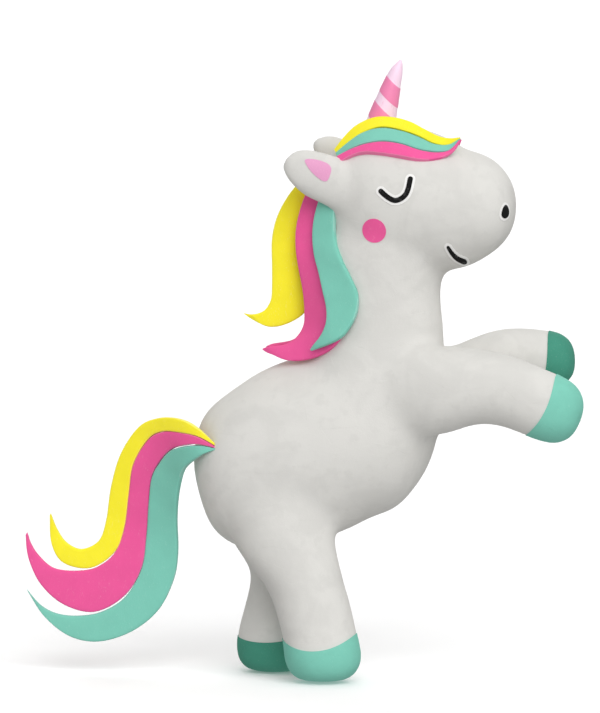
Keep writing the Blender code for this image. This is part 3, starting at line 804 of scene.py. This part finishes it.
def felt(title, colour):
    """Stiffened felt: matted fibres, a soft bloom and a painted highlight that pales the colour along
    each lock's edge.
    """
    made = Recipe(title, colour, 0.9, Specular_IOR_Level=0.2, Sheen_Weight=0.12, Sheen_Roughness=0.5)
    mat = made.grain(1400, detail=6.0, roughness=0.75, distortion=1.2)
    long_fibres = made.grain(500, detail=4.0, distortion=2.5, place=made.stretched((1.0, 1.0, 0.35)))
    clouds = made.grain(60, detail=2.0)
    made.tint(made.span(clouds, 0.35, 0.65), darker(colour, 0.97))
    made.tint(made.span(mat, 0.58, 0.74), darker(colour, 0.84), 0.5)
    made.tint(made.span(long_fibres, 0.60, 0.70), paler(colour, 0.22), 0.35)
    # painted highlight: the colour paled along each lock's edge, in place of light catching a bevel
    made.tint(made.attribute("painted_edge_highlight"), paler(colour, 0.45), 0.25)
    made.relief(long_fibres, 0.15)
    made.relief(mat, 0.12)
    return made.material


def printed_paper(title, colour, gloss=0.55, shine=0.35):
    """Smooth printed paper with a faint fibre grain."""
    made = Recipe(title, colour, gloss, Specular_IOR_Level=shine)
    fibres = made.grain(1600, detail=5.0, distortion=1.5)
    patches = made.grain(220, detail=3.0)
    made.tint(made.span(fibres, 0.35, 0.65), darker(colour, 0.93))
    made.tint(made.span(patches, 0.55, 0.70), paler(colour, 0.06), 0.6)
    made.rough(patches, gloss - 0.06, gloss + 0.08)
    made.relief(fibres, 0.05)
    return made.material


def horn_card(title, colour, pale):
    """Printed card with slanting bands in two shades and a rolled grain."""
    made = Recipe(title, colour, 0.42, Specular_IOR_Level=0.45)
    grain = made.grain(900, detail=5.0, place=made.stretched((1.0, 1.0, 0.25)))
    patches = made.grain(150, detail=3.0)
    low = HORN_PALE_FROM - HORN_TINT_EDGE
    high = HORN_PALE_FROM + HORN_TINT_EDGE
    made.tint(made.span(made.attribute("band"), low, high), pale)
    made.tint(made.span(grain, 0.55, 0.70), darker(colour, 0.86), 0.25)
    made.rough(patches, 0.36, 0.5)
    made.relief(grain, 0.06)
    return made.material


def plain_card(title, colour):
    """Raw grey-brown card with fibres."""
    made = Recipe(title, colour, 0.9, Specular_IOR_Level=0.2)
    fibres = made.grain(800, detail=6.0, distortion=1.0)
    made.tint(made.span(fibres, 0.4, 0.65), darker(colour, 0.75))
    made.relief(fibres, 0.08)
    return made.material


def plated_steel(title, colour):
    """Bright plated steel with fine turning marks and a little tarnish."""
    made = Recipe(title, colour, 0.25, Metallic=1.0)
    turning = made.grain(2500, detail=3.0, place=made.stretched((1.0, 1.0, 6.0)))
    tarnish = made.grain(350, detail=5.0)
    made.tint(made.span(tarnish, 0.5, 0.7), darker(colour, 0.7), 0.6)
    made.rough(tarnish, 0.2, 0.38)
    made.relief(turning, 0.02)
    return made.material


def record_colour(slot_name):
    """The base colour that the record gives to a finish."""
    for entry in frame["record"]["materials"]:
        if entry["slot"] == slot_name:
            return tuple(entry["base_color"][:3])
    raise ValueError(slot_name)


def make_finishes():
    """Every finish of the pinata by its slot in the record."""
    made = {}
    # hoof_dark is a darker copy of the hoof teal, painted shade for the hooves on the far (left) side
    for slot_name in ("body_pulp", "hoof_light", "hoof_dark"):
        made[slot_name] = painted_pulp(slot_name, record_colour(slot_name))
    for slot_name in ("yellow_felt", "pink_felt", "teal_felt"):
        made[slot_name] = felt(slot_name, record_colour(slot_name))
    for slot_name in ("white_paper", "pink_paper", "soft_pink_paper"):
        made[slot_name] = printed_paper(slot_name, record_colour(slot_name))
    made["black_paper"] = printed_paper("black_paper", record_colour("black_paper"), 0.7, 0.12)
    made["horn_card"] = horn_card("horn_card", HORN_PINK, HORN_PALE)
    made["plain_card"] = plain_card("plain_card", record_colour("plain_card"))
    made["eyelet_steel"] = plated_steel("eyelet_steel", record_colour("eyelet_steel"))
    made["raw_pulp"] = raw_pulp("raw_pulp", RAW_PULP)
    return made


# ---------------------------------------------------------------- body skin


def pour_form():
    """The outer skin of the whole body with its ears, and the hollow inside it."""
    forward = Vector((1, 0, 0))
    down = Vector((0, 0, -1))
    masses = bmesh.new()
    limb(masses, TORSO, level=forward)
    limb(masses, NECK)
    limb(masses, HEAD)
    limb(masses, HIND_LEG_RIGHT, -1, level=down)
    limb(masses, HIND_LEG_LEFT, 1, level=down)
    limb(masses, FORELEG_RIGHT, -1)
    limb(masses, FORELEG_LEFT, 1)
    body = relax(remesh(add_object("body", masses), VOXEL), BODY_SMOOTHING)
    hollow = remesh(swollen(body, "hollow", -WALL), HOLLOW_VOXEL)
    ears = bmesh.new()
    ears.from_mesh(body.data)
    limb(ears, EAR_RIGHT, -1)
    limb(ears, EAR_LEFT, 1)
    form = relax(remesh(add_object("form", ears), VOXEL), EAR_SMOOTHING)
    hand_shape(form)
    discard(body)
    return form, hollow


def hand_shape(item):
    """Give a skin the slow unevenness of a shape built up by hand."""
    swells = ((0.45, 24.0), (0.12, 70.0))
    shift = Vector((3.7, 1.3, 5.1))
    item.data.update()
    moves = []
    for vert in item.data.vertices:
        rise = sum(size * noise.noise(vert.co * rate + shift) for size, rate in swells)
        moves.append(vert.co + vert.normal * (rise * MM))
    for vert, place in zip(item.data.vertices, moves):
        vert.co = place


def hoof_zone(name):
    """The space that a hoof takes: beyond its arc, on its own side of the body."""
    centre_x, centre_z, radius, facing = HOOF_LINES[name]
    spread = math.degrees(math.asin(min(0.95, HOOF_HALF_CHORD / radius)))
    line = arc(centre_x, centre_z, radius, facing - spread, facing + spread, 32)
    away = math.radians(facing)
    outward = (HOOF_ZONE_LENGTH * math.cos(away), HOOF_ZONE_LENGTH * math.sin(away))
    first = (line[-1][0] + outward[0], line[-1][1] + outward[1])
    second = (line[0][0] + outward[0], line[0][1] + outward[1])
    near, far = (-REACH, 0.0) if name.endswith("right") else (0.0, REACH)
    return add_object("hoof_zone", prism(line + [first, second], near, far))


def hatch_zone(spread, near):
    """The space of the hatch in the left flank, grown by a spread."""
    outline = rounded_box(
        HATCH_LEFT - spread,
        HATCH_RIGHT + spread,
        HATCH_BOTTOM - spread,
        HATCH_TOP + spread,
        HATCH_CORNER + spread,
    )
    return add_object("hatch_zone", prism(outline, near, REACH))


def rod(radius, bottom, top, sides):
    """A plain round rod along Z, turned to the eyelet's slope."""
    made = bmesh.new()
    bmesh.ops.create_cone(
        made,
        cap_ends=True,
        segments=sides,
        radius1=radius * MM,
        radius2=radius * MM,
        depth=(top - bottom) * MM,
        matrix=eyelet_place() @ Matrix.Translation((0, 0, (top + bottom) / 2 * MM)),
    )
    return add_object("rod", made)


def eyelet_place():
    """Where the eyelet stands: at the origin, square to the crown's slope."""
    return Matrix.Rotation(math.radians(EYELET_TILT), 4, "Y")


def paint_outside(item, tree, depth=0.4):
    """Paint the faces on a skin and leave the cut edges and the inside raw."""
    item.data.materials.clear()
    item.data.materials.append(FINISHES["body_pulp"])
    item.data.materials.append(FINISHES["raw_pulp"])
    for face in item.data.polygons:
        _, _, _, gap = tree.find_nearest(face.center)
        face.material_index = 0 if gap < depth * MM else 1


def build_body(form, hollow, tree):
    """The skin of the body in one piece, its four hooves and its hatch door."""
    shell = combine(copy_of(form, "shell"), hollow, "DIFFERENCE")
    proud = swollen(form, "proud", HOOF_PROUD)
    proud_shell = combine(proud, hollow, "DIFFERENCE")
    skin = copy_of(shell, "skin")
    for name in HOOF_LINES:
        zone = hoof_zone(name)
        combine(skin, zone, "DIFFERENCE")
        hoof = combine(copy_of(proud_shell, name), zone, "INTERSECT")
        # the left hooves, on the side away from the camera, take the darker teal as painted shade
        finish(hoof, name, "hoof_light" if name.endswith("right") else "hoof_dark")
        discard(zone)
    door_zone = hatch_zone(0.0, 2 * FLANK_NEAR)
    door_hole = hatch_zone(HATCH_CLEARANCE, FLANK_NEAR)
    door = combine(copy_of(shell, "door"), door_zone, "INTERSECT")
    barrel_hole = rod(EYELET_BARREL + SEAM, -EYELET_SEAT_REACH, EYELET_SEAT_REACH, 48)
    flange_seat = rod(EYELET_FLANGE + SEAM, -EYELET_RIM / 2 - SEAM, EYELET_SEAT_REACH, 64)
    for cutter in (door_hole, barrel_hole, flange_seat):
        combine(skin, cutter, "DIFFERENCE")
    paint_outside(skin, tree)
    paint_outside(door, tree)
    shells = [
        part + side
        for part in ("torso_shell_", "head_shell_", "foreleg_", "hind_leg_", "ear_")
        for side in ("right", "left")
    ]
    finish(skin, "body_skin", "body_pulp", nodes=shells)
    finish(door, "hatch_door", "body_pulp", body="fill_door", nodes=["fill_door"])
    discard(shell, proud_shell, door_zone, door_hole, barrel_hole, flange_seat)


# ---------------------------------------------------------------- hair and horn


def strand_places(rungs, thickness, inset):
    """Where a lock's sections stand, with each one's middle, reach and direction."""
    rows = smooth_rows(rungs, STRAND_STEPS)
    starts = [Vector(row[:3]) for row in rows]
    ends = [Vector(row[3:6]) for row in rows]
    middles = [(a + b) / 2 for a, b in zip(starts, ends)]
    places = []
    spans = []
    for i, middle in enumerate(middles):
        across = ends[i] - starts[i]
        half = max(across.length / 2 - inset * min(1.0, across.length / 8), 0.3)
        across.normalize()
        out = direction_at(middles, i).cross(across).normalized()
        depth = min(thickness / 2, 0.3 + half * 0.6)
        places.append(placing(middle, across * half, out * depth, across.cross(out)))
        spans.append((middle, across, half))
    return places, spans


def mark_painted_edge_highlight(item, spans, width=0.6):
    """Keep on each point how near it is to the lock's edge, from 0 to 1, as the mask of the painted edge
    highlight.
    """
    layer = item.data.attributes.new("painted_edge_highlight", "FLOAT", "POINT")
    for vert in item.data.vertices:
        point = vert.co / MM
        middle, across, half = min(spans, key=lambda span: (span[0] - point).length_squared)
        inside = half - abs((point - middle).dot(across))
        share = min(1.0, half / 4)
        layer.data[vert.index].value = share * max(0.0, min(1.0, 1.6 - inside / width))


def build_lock(name, rungs, thickness, finish_name, skin, inset=STRAND_INSET):
    """One lock of hair, trimmed where it meets the skin."""
    places, spans = strand_places(rungs, thickness, inset)
    shape = bmesh.new()
    loft(shape, places, STRAND_SIDES, STRAND_SQUARENESS)
    lock = combine(add_object(name, shape), skin, "DIFFERENCE")
    # mask for the painted highlight along the lock's edge
    mark_painted_edge_highlight(lock, spans)
    finish(lock, name, finish_name)


def mirrored(rungs, shift):
    """The same rungs on the other side of the middle plane, moved by a shift."""
    x, y, z = shift
    return [(a + x, y - b, c + z, d + x, y - e, f + z) for a, b, c, d, e, f in rungs]


def build_hair(skin):
    """Mane, forelock and tail."""
    build_lock("mane_yellow", MANE_YELLOW, MANE_THICKNESS, "yellow_felt", skin)
    build_lock("tail_yellow", TAIL_YELLOW, TAIL_THICKNESS, "yellow_felt", skin)
    build_lock("tail_pink", TAIL_PINK, TAIL_THICKNESS - 1, "pink_felt", skin, TUCKED_INSET)
    build_lock("tail_teal", TAIL_TEAL, TAIL_THICKNESS, "teal_felt", skin)
    unshifted = (0.0, 0.0, 0.0)
    paired = [
        ("mane_pink", MANE_PINK_RIGHT, unshifted, MANE_THICKNESS - 2, "pink_felt"),
        ("mane_teal", MANE_TEAL_RIGHT, unshifted, MANE_THICKNESS - 1, "teal_felt"),
        ("forelock_yellow", FORELOCK_YELLOW_RIGHT, LEFT_LOCK_SHIFT, FORELOCK_THICKNESS, "yellow_felt"),
        ("forelock_teal", FORELOCK_TEAL_RIGHT, LEFT_LOCK_SHIFT, FORELOCK_THICKNESS, "teal_felt"),
        ("forelock_pink", FORELOCK_PINK_RIGHT, LEFT_LOCK_SHIFT, FORELOCK_THICKNESS, "pink_felt"),
    ]
    for title, rungs, shift, thickness, finish_name in paired:
        build_lock(title + "_right", rungs, thickness, finish_name, skin)
        build_lock(title + "_left", mirrored(rungs, shift), thickness, finish_name, skin)


def horn_band(height, ahead):
    """How far a point of the horn is into a pale slanting band, from 0 to 1."""
    level = height + HORN_SLANT * ahead
    if level > HORN_TIP_LEVEL:
        return 1.0
    return 0.5 + 0.5 * math.cos(2 * math.pi * (level - HORN_PALE_CENTRE) / HORN_BAND_RISE)


def build_horn(skin):
    """The rolled card horn with its slanting bands in low relief."""
    shape = bmesh.new()
    stations = [(x, z, radius, radius) for x, z, radius in HORN]
    limb(shape, stations, steps=HORN_STEPS, sides=HORN_SIDES)
    horn = combine(add_object("horn", shape), skin, "DIFFERENCE")
    line = [(x, z) for x, z, _ in HORN]
    axis = [Vector((x, 0, z)) for x, z in smooth_rows(line, HORN_STEPS)]
    layer = horn.data.attributes.new("band", "FLOAT", "POINT")
    for vert in horn.data.vertices:
        point = vert.co / MM
        centre = min(axis, key=lambda spot: (spot - point).length_squared)
        reach = point - centre
        band = horn_band(point.z, reach.x)
        layer.data[vert.index].value = band
        short = HORN_PALE_FROM + HORN_RELIEF_EDGE - band
        step = min(1.0, max(0.0, short / (2 * HORN_RELIEF_EDGE)))
        rise = HORN_RELIEF * step * min(1.0, reach.length / 4)
        if reach.length > 0.5:
            vert.co += reach.normalized() * (rise * MM)
    finish(horn, "horn_cone", "horn_card")


# ---------------------------------------------------------------- stuck-on pieces


def ribbon_rungs(line, width, border=0.0, taper=0.0):
    """Rungs across a line, round at both ends, thinner at its start by a taper."""
    points = [Vector((x, z)) for x, z in smooth_rows(line, 8)]
    lengths = [0.0]
    for first, second in zip(points, points[1:]):
        lengths.append(lengths[-1] + (second - first).length)
    total = lengths[-1]
    start_half = width / 2 * (1 - taper) + border
    end_half = width / 2 + border
    rungs = []
    count = 64
    for k in range(count + 1):
        turn = math.pi * k / count
        s = -start_half + (total + start_half + end_half) * (0.5 - 0.5 * math.cos(turn))
        inside = min(max(s, 0.0), total)
        i = max(j for j, value in enumerate(lengths) if value <= inside)
        i = min(i, len(points) - 2)
        along = direction_at(points, i)
        step = (points[i + 1] - points[i]).normalized()
        spot = points[i] + step * (inside - lengths[i]) + step * (s - inside)
        beyond = abs(s - inside)
        share = 1 - taper * (1 - inside / total)
        half = width / 2 * share + border
        half *= math.sqrt(max(0.0, 1 - (beyond / (start_half if s < 0 else end_half)) ** 2))
        normal = Vector((-along.y, along.x)) * half
        rungs.append((spot.x + normal.x, spot.y + normal.y, spot.x - normal.x, spot.y - normal.y))
    return rungs


def disc_rungs(centre_x, centre_z, half_width, half_height, narrowing=0.0):
    """Rungs across a disc or, with a narrowing towards its top, an egg."""
    rungs = []
    for k in range(33):
        turn = math.pi * (k / 32 - 0.5)
        rise = math.sin(turn)
        half = half_width * math.cos(turn) * (1 - narrowing * rise)
        z = centre_z + half_height * rise
        rungs.append((centre_x - half, z, centre_x + half, z))
    return rungs


def drawn_in(rungs, root, share):
    """The same rungs, drawn in towards a root to a share of their size."""
    root_x, root_z = root
    made = []
    for x1, z1, x2, z2 in rungs:
        start_x = root_x + (x1 - root_x) * share
        start_z = root_z + (z1 - root_z) * share
        end_x = root_x + (x2 - root_x) * share
        end_z = root_z + (z2 - root_z) * share
        made.append((start_x, start_z, end_x, end_z))
    return made


def on_skin(tree, side, x, z, gap, centre=ORIGIN, turn=0.0):
    """The point on a side of the skin behind a place in the side view, and a gap above it.

    With a turn in degrees towards the front, the place lies in a plane turned
    about the upright through the centre.
    """
    out = Vector((math.sin(math.radians(turn)), side * math.cos(math.radians(turn)), 0))
    level = Vector((out.y * side, -out.x * side, 0))
    start = centre + level * (x * MM) + Vector((0, 0, z * MM)) + out * (REACH * MM)
    spot, normal, _, _ = tree.ray_cast(start, -out)
    if spot is None:
        raise ValueError("no skin at", x, z)
    return spot + normal * (gap * MM)


def sticker(
    name,
    rungs,
    side,
    tree,
    gap=STICKER_GAP,
    thickness=STICKER_THICKNESS,
    columns=STICKER_COLUMNS,
    centre=ORIGIN,
    turn=0.0,
):
    """A thin sheet laid on the skin, its edges where the rungs end."""
    rows = len(rungs) - 1
    shape = bmesh.new()
    bmesh.ops.create_grid(shape, x_segments=rows, y_segments=columns, size=1.0)
    for vert in shape.verts:
        x1, z1, x2, z2 = rungs[round((vert.co.x + 1) / 2 * rows)]
        share = (vert.co.y + 1) / 2
        x = x1 + (x2 - x1) * share
        z = z1 + (z2 - z1) * share
        vert.co = on_skin(tree, side, x, z, gap, centre, turn)
    bmesh.ops.remove_doubles(shape, verts=shape.verts, dist=0.02 * MM)
    bmesh.ops.recalc_face_normals(shape, faces=shape.faces)
    outward = sum((face.normal.y * face.calc_area() for face in shape.faces), 0.0)
    if outward * side < 0:
        bmesh.ops.reverse_faces(shape, faces=shape.faces)
    item = add_object(name, shape)
    wall = item.modifiers.new("paper", "SOLIDIFY")
    wall.thickness = thickness * MM
    wall.offset = 1.0
    return settle(item)


def build_face(tree):
    """Closed eyes, cheeks, nostrils and mouth corners, on both sides."""
    nostril_x, nostril_z, nostril_half, nostril_height = NOSTRIL
    marks = {
        "eye": (
            ribbon_rungs(EYE_LINE, EYE_LINE_WIDTH, BORDER),
            ribbon_rungs(EYE_LINE, EYE_LINE_WIDTH),
        ),
        "mouth": (
            ribbon_rungs(MOUTH_LINE, MOUTH_LINE_WIDTH, BORDER, MOUTH_TAPER),
            ribbon_rungs(MOUTH_LINE, MOUTH_LINE_WIDTH, 0.0, MOUTH_TAPER),
        ),
        "nostril": (
            disc_rungs(0, 0, nostril_half + BORDER, nostril_height + BORDER, NOSTRIL_NARROWING),
            disc_rungs(0, 0, nostril_half, nostril_height, NOSTRIL_NARROWING),
        ),
    }
    cheek_x, cheek_z, cheek_radius = CHEEK
    cheek = disc_rungs(cheek_x, cheek_z, cheek_radius, cheek_radius)
    second_gap = 2 * STICKER_GAP + STICKER_THICKNESS
    for title, side in (("right", -1), ("left", 1)):
        nostril_centre = on_skin(tree, side, nostril_x, nostril_z, 0.0)
        for mark, (backing, line) in marks.items():
            place = {"centre": nostril_centre, "turn": NOSTRIL_TURN} if mark == "nostril" else {}
            back_name = mark + "_backing_" + title
            line_name = mark + "_line_" + title
            back = sticker(back_name, backing, side, tree, **place)
            finish(back, back_name, "white_paper")
            front = sticker(line_name, line, side, tree, second_gap, **place)
            finish(front, line_name, "black_paper")
        cheek_name = "cheek_" + title
        finish(sticker(cheek_name, cheek, side, tree), cheek_name, "pink_paper")
        lining_name = "inner_ear_" + title
        rungs = drawn_in(INNER_EAR_RUNGS[title], INNER_EAR_ROOTS[title], INNER_EAR_SHARE)
        lining = smooth_rows(rungs, INNER_EAR_STEPS)
        finish(sticker(lining_name, lining, side, tree), lining_name, "soft_pink_paper")


def upright_rungs(left, right, bottom, top, corner, count):
    """Level rungs up a rectangle whose bottom corners are round."""
    rungs = []
    for k in range(count + 1):
        z = bottom + (top - bottom) * k / count
        low = max(0.0, corner - (z - bottom))
        inset = corner - math.sqrt(max(0.0, corner**2 - low**2))
        rungs.append((left + inset, z, right - inset, z))
    return rungs


def build_hatch(tree):
    """The paper hinge strip across the top of the hatch, and the pull tab."""
    hinge = upright_rungs(TAPE_LEFT, TAPE_RIGHT, HATCH_TOP - TAPE_REACH, HATCH_TOP + TAPE_REACH, 0.0, 40)
    strip = sticker("hatch_hinge", hinge, 1, tree, HATCH_PAPER_GAP, TAPE_THICKNESS, 24)
    finish(strip, "hatch_hinge", "white_paper", "", ["hinge_tape_upper", "hinge_tape_lower"])
    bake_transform(strip)
    middle = (HATCH_LEFT + HATCH_RIGHT) / 2
    tab = upright_rungs(
        middle - TAB_HALF_WIDTH, middle + TAB_HALF_WIDTH, TAB_BOTTOM, TAB_TOP, TAB_HALF_WIDTH * 0.6, 40
    )
    strip = sticker("door_tab", tab, 1, tree, HATCH_PAPER_GAP, TAB_THICKNESS, 14)
    finish(strip, "door_tab", "pink_paper", "fill_door")


def build_hanger():
    """The hanging eyelet with its rolled flange, and the card disc's finish."""
    half = EYELET_RIM / 2
    profile = [
        (EYELET_HOLE, half),
        (EYELET_HOLE, -EYELET_DEPTH),
        (EYELET_BARREL, -EYELET_DEPTH),
        (EYELET_BARREL, -half),
        (EYELET_FLANGE, -half),
        (EYELET_FLANGE, half),
    ]
    shape = bmesh.new()
    verts = [shape.verts.new(Vector((radius, 0, height)) * MM) for radius, height in profile]
    for first, second in zip(verts, verts[1:] + verts[:1]):
        shape.edges.new((first, second))
    bmesh.ops.spin(
        shape,
        geom=shape.verts[:] + shape.edges[:],
        cent=ORIGIN,
        axis=(0, 0, 1),
        angle=2 * math.pi,
        steps=64,
        use_merge=True,
    )
    bmesh.ops.recalc_face_normals(shape, faces=shape.faces)
    crisp = [edge for edge in shape.edges if edge.calc_face_angle(0.0) > math.radians(40)]
    bmesh.ops.bevel(
        shape, geom=crisp, offset=0.4 * MM, segments=4, profile=0.5, affect="EDGES", material=-1
    )
    bmesh.ops.transform(shape, matrix=eyelet_place(), verts=shape.verts)
    finish(add_object("hang_eyelet", shape), "hang_eyelet", "eyelet_steel", sharp_degrees=60)
    disc = frame["nodes"]["hang_disc"]
    disc.data.materials.clear()
    disc.data.materials.append(FINISHES["plain_card"])


# ---------------------------------------------------------------- studio


def view_axes(azimuth, elevation):
    """The right, up and back directions of a camera that looks from a side."""
    a = math.radians(azimuth)
    e = math.radians(elevation)
    back = Vector((math.sin(a) * math.cos(e), -math.cos(a) * math.cos(e), math.sin(e)))
    right = Vector((math.cos(a), math.sin(a), 0))
    return right, back.cross(right), back


def build_camera():
    """A long lens on the unicorn's right side, a little above and before it."""
    right, up, back = view_axes(CAMERA_AZIMUTH, CAMERA_ELEVATION)
    aim = right * (AIM_RIGHT * MM) + up * (AIM_UP * MM)
    lens = bpy.data.cameras.new("camera")
    lens.lens = CAMERA_LENS
    lens.sensor_width = 36.0
    lens.clip_end = CAMERA_REACH
    camera = bpy.data.objects.new("camera", lens)
    turn = Matrix((right, up, back)).transposed().to_4x4()
    camera.matrix_world = Matrix.Translation(aim + back * CAMERA_DISTANCE) @ turn
    bpy.context.scene.collection.objects.link(camera)
    bpy.context.scene.camera = camera


def soft_light(name, azimuth, elevation, spread, strength):
    """A wide, even light from a side, as from a large far softbox."""
    right, up, back = view_axes(azimuth, elevation)
    lamp = bpy.data.lights.new(name, "SUN")
    lamp.angle = math.radians(spread)
    lamp.energy = strength
    holder = bpy.data.objects.new(name, lamp)
    turn = Matrix((right, up, back)).transposed().to_4x4()
    holder.matrix_world = Matrix.Translation(back) @ turn
    bpy.context.scene.collection.objects.link(holder)


def emission(title, colour, strength):
    """A plain glowing material for the backdrop."""
    made = bpy.data.materials.new(title)
    made.use_nodes = True
    tree = made.node_tree
    tree.nodes.remove(tree.nodes["Principled BSDF"])
    glow = tree.nodes.new("ShaderNodeEmission")
    glow.inputs["Color"].default_value = (*colour, 1.0)
    glow.inputs["Strength"].default_value = strength
    tree.links.new(glow.outputs["Emission"], tree.nodes["Material Output"].inputs["Surface"])
    return made


def floor_paper():
    """Pale seamless paper with the faintest grain."""
    made = Recipe("floor_paper", (0.92, 0.92, 0.92), 0.9, Specular_IOR_Level=0.1)
    made.tint(made.span(made.grain(30), 0.3, 0.7), (0.90, 0.90, 0.90))
    made.shader.inputs["Emission Color"].default_value = (1.0, 1.0, 1.0, 1.0)
    made.shader.inputs["Emission Strength"].default_value = FLOOR_GLOW
    return made.material


def build_stage():
    """A pale floor at hoof level inside a white dome that only the camera sees."""
    disc = bmesh.new()
    bmesh.ops.create_circle(disc, cap_ends=True, segments=96, radius=FLOOR_RADIUS)
    bmesh.ops.translate(disc, vec=(0, 0, CAD_LOW.z - FLOOR_DROP * MM), verts=disc.verts)
    floor = add_object("floor", disc)
    floor.data.materials.append(floor_paper())
    floor.visible_diffuse = False
    floor.visible_glossy = False
    ball = bmesh.new()
    bmesh.ops.create_uvsphere(ball, u_segments=64, v_segments=32, radius=DOME_RADIUS)
    dome = add_object("backdrop", ball)
    dome.data.materials.append(emission("backdrop_white", (1.0, 1.0, 1.0), 1.0))
    for ray in ("visible_diffuse", "visible_glossy", "visible_transmission", "visible_shadow"):
        setattr(dome, ray, False)


def build_lights():
    """Soft even light from all round, a large key before the unicorn, a low back light."""
    world = bpy.data.worlds.new("studio")
    bpy.context.scene.world = world
    world.use_nodes = True
    sky = world.node_tree.nodes["Background"]
    sky.inputs["Color"].default_value = (1.0, 1.0, 1.0, 1.0)
    sky.inputs["Strength"].default_value = SKY_STRENGTH
    soft_light("key", *KEY_LIGHT)
    soft_light("back_fill", *BACK_FILL)
    bpy.context.scene.view_settings.view_transform = "Standard"


# ---------------------------------------------------------------- the pinata


build_camera()
build_lights()
build_stage()
FINISHES = make_finishes()
FORM, HOLLOW = pour_form()
FORM_TREE = BVHTree.FromObject(FORM, bpy.context.evaluated_depsgraph_get())
build_body(FORM, HOLLOW, FORM_TREE)
build_horn(FORM)
build_hair(FORM)
build_face(FORM_TREE)
build_hatch(FORM_TREE)
build_hanger()
discard(FORM, HOLLOW)
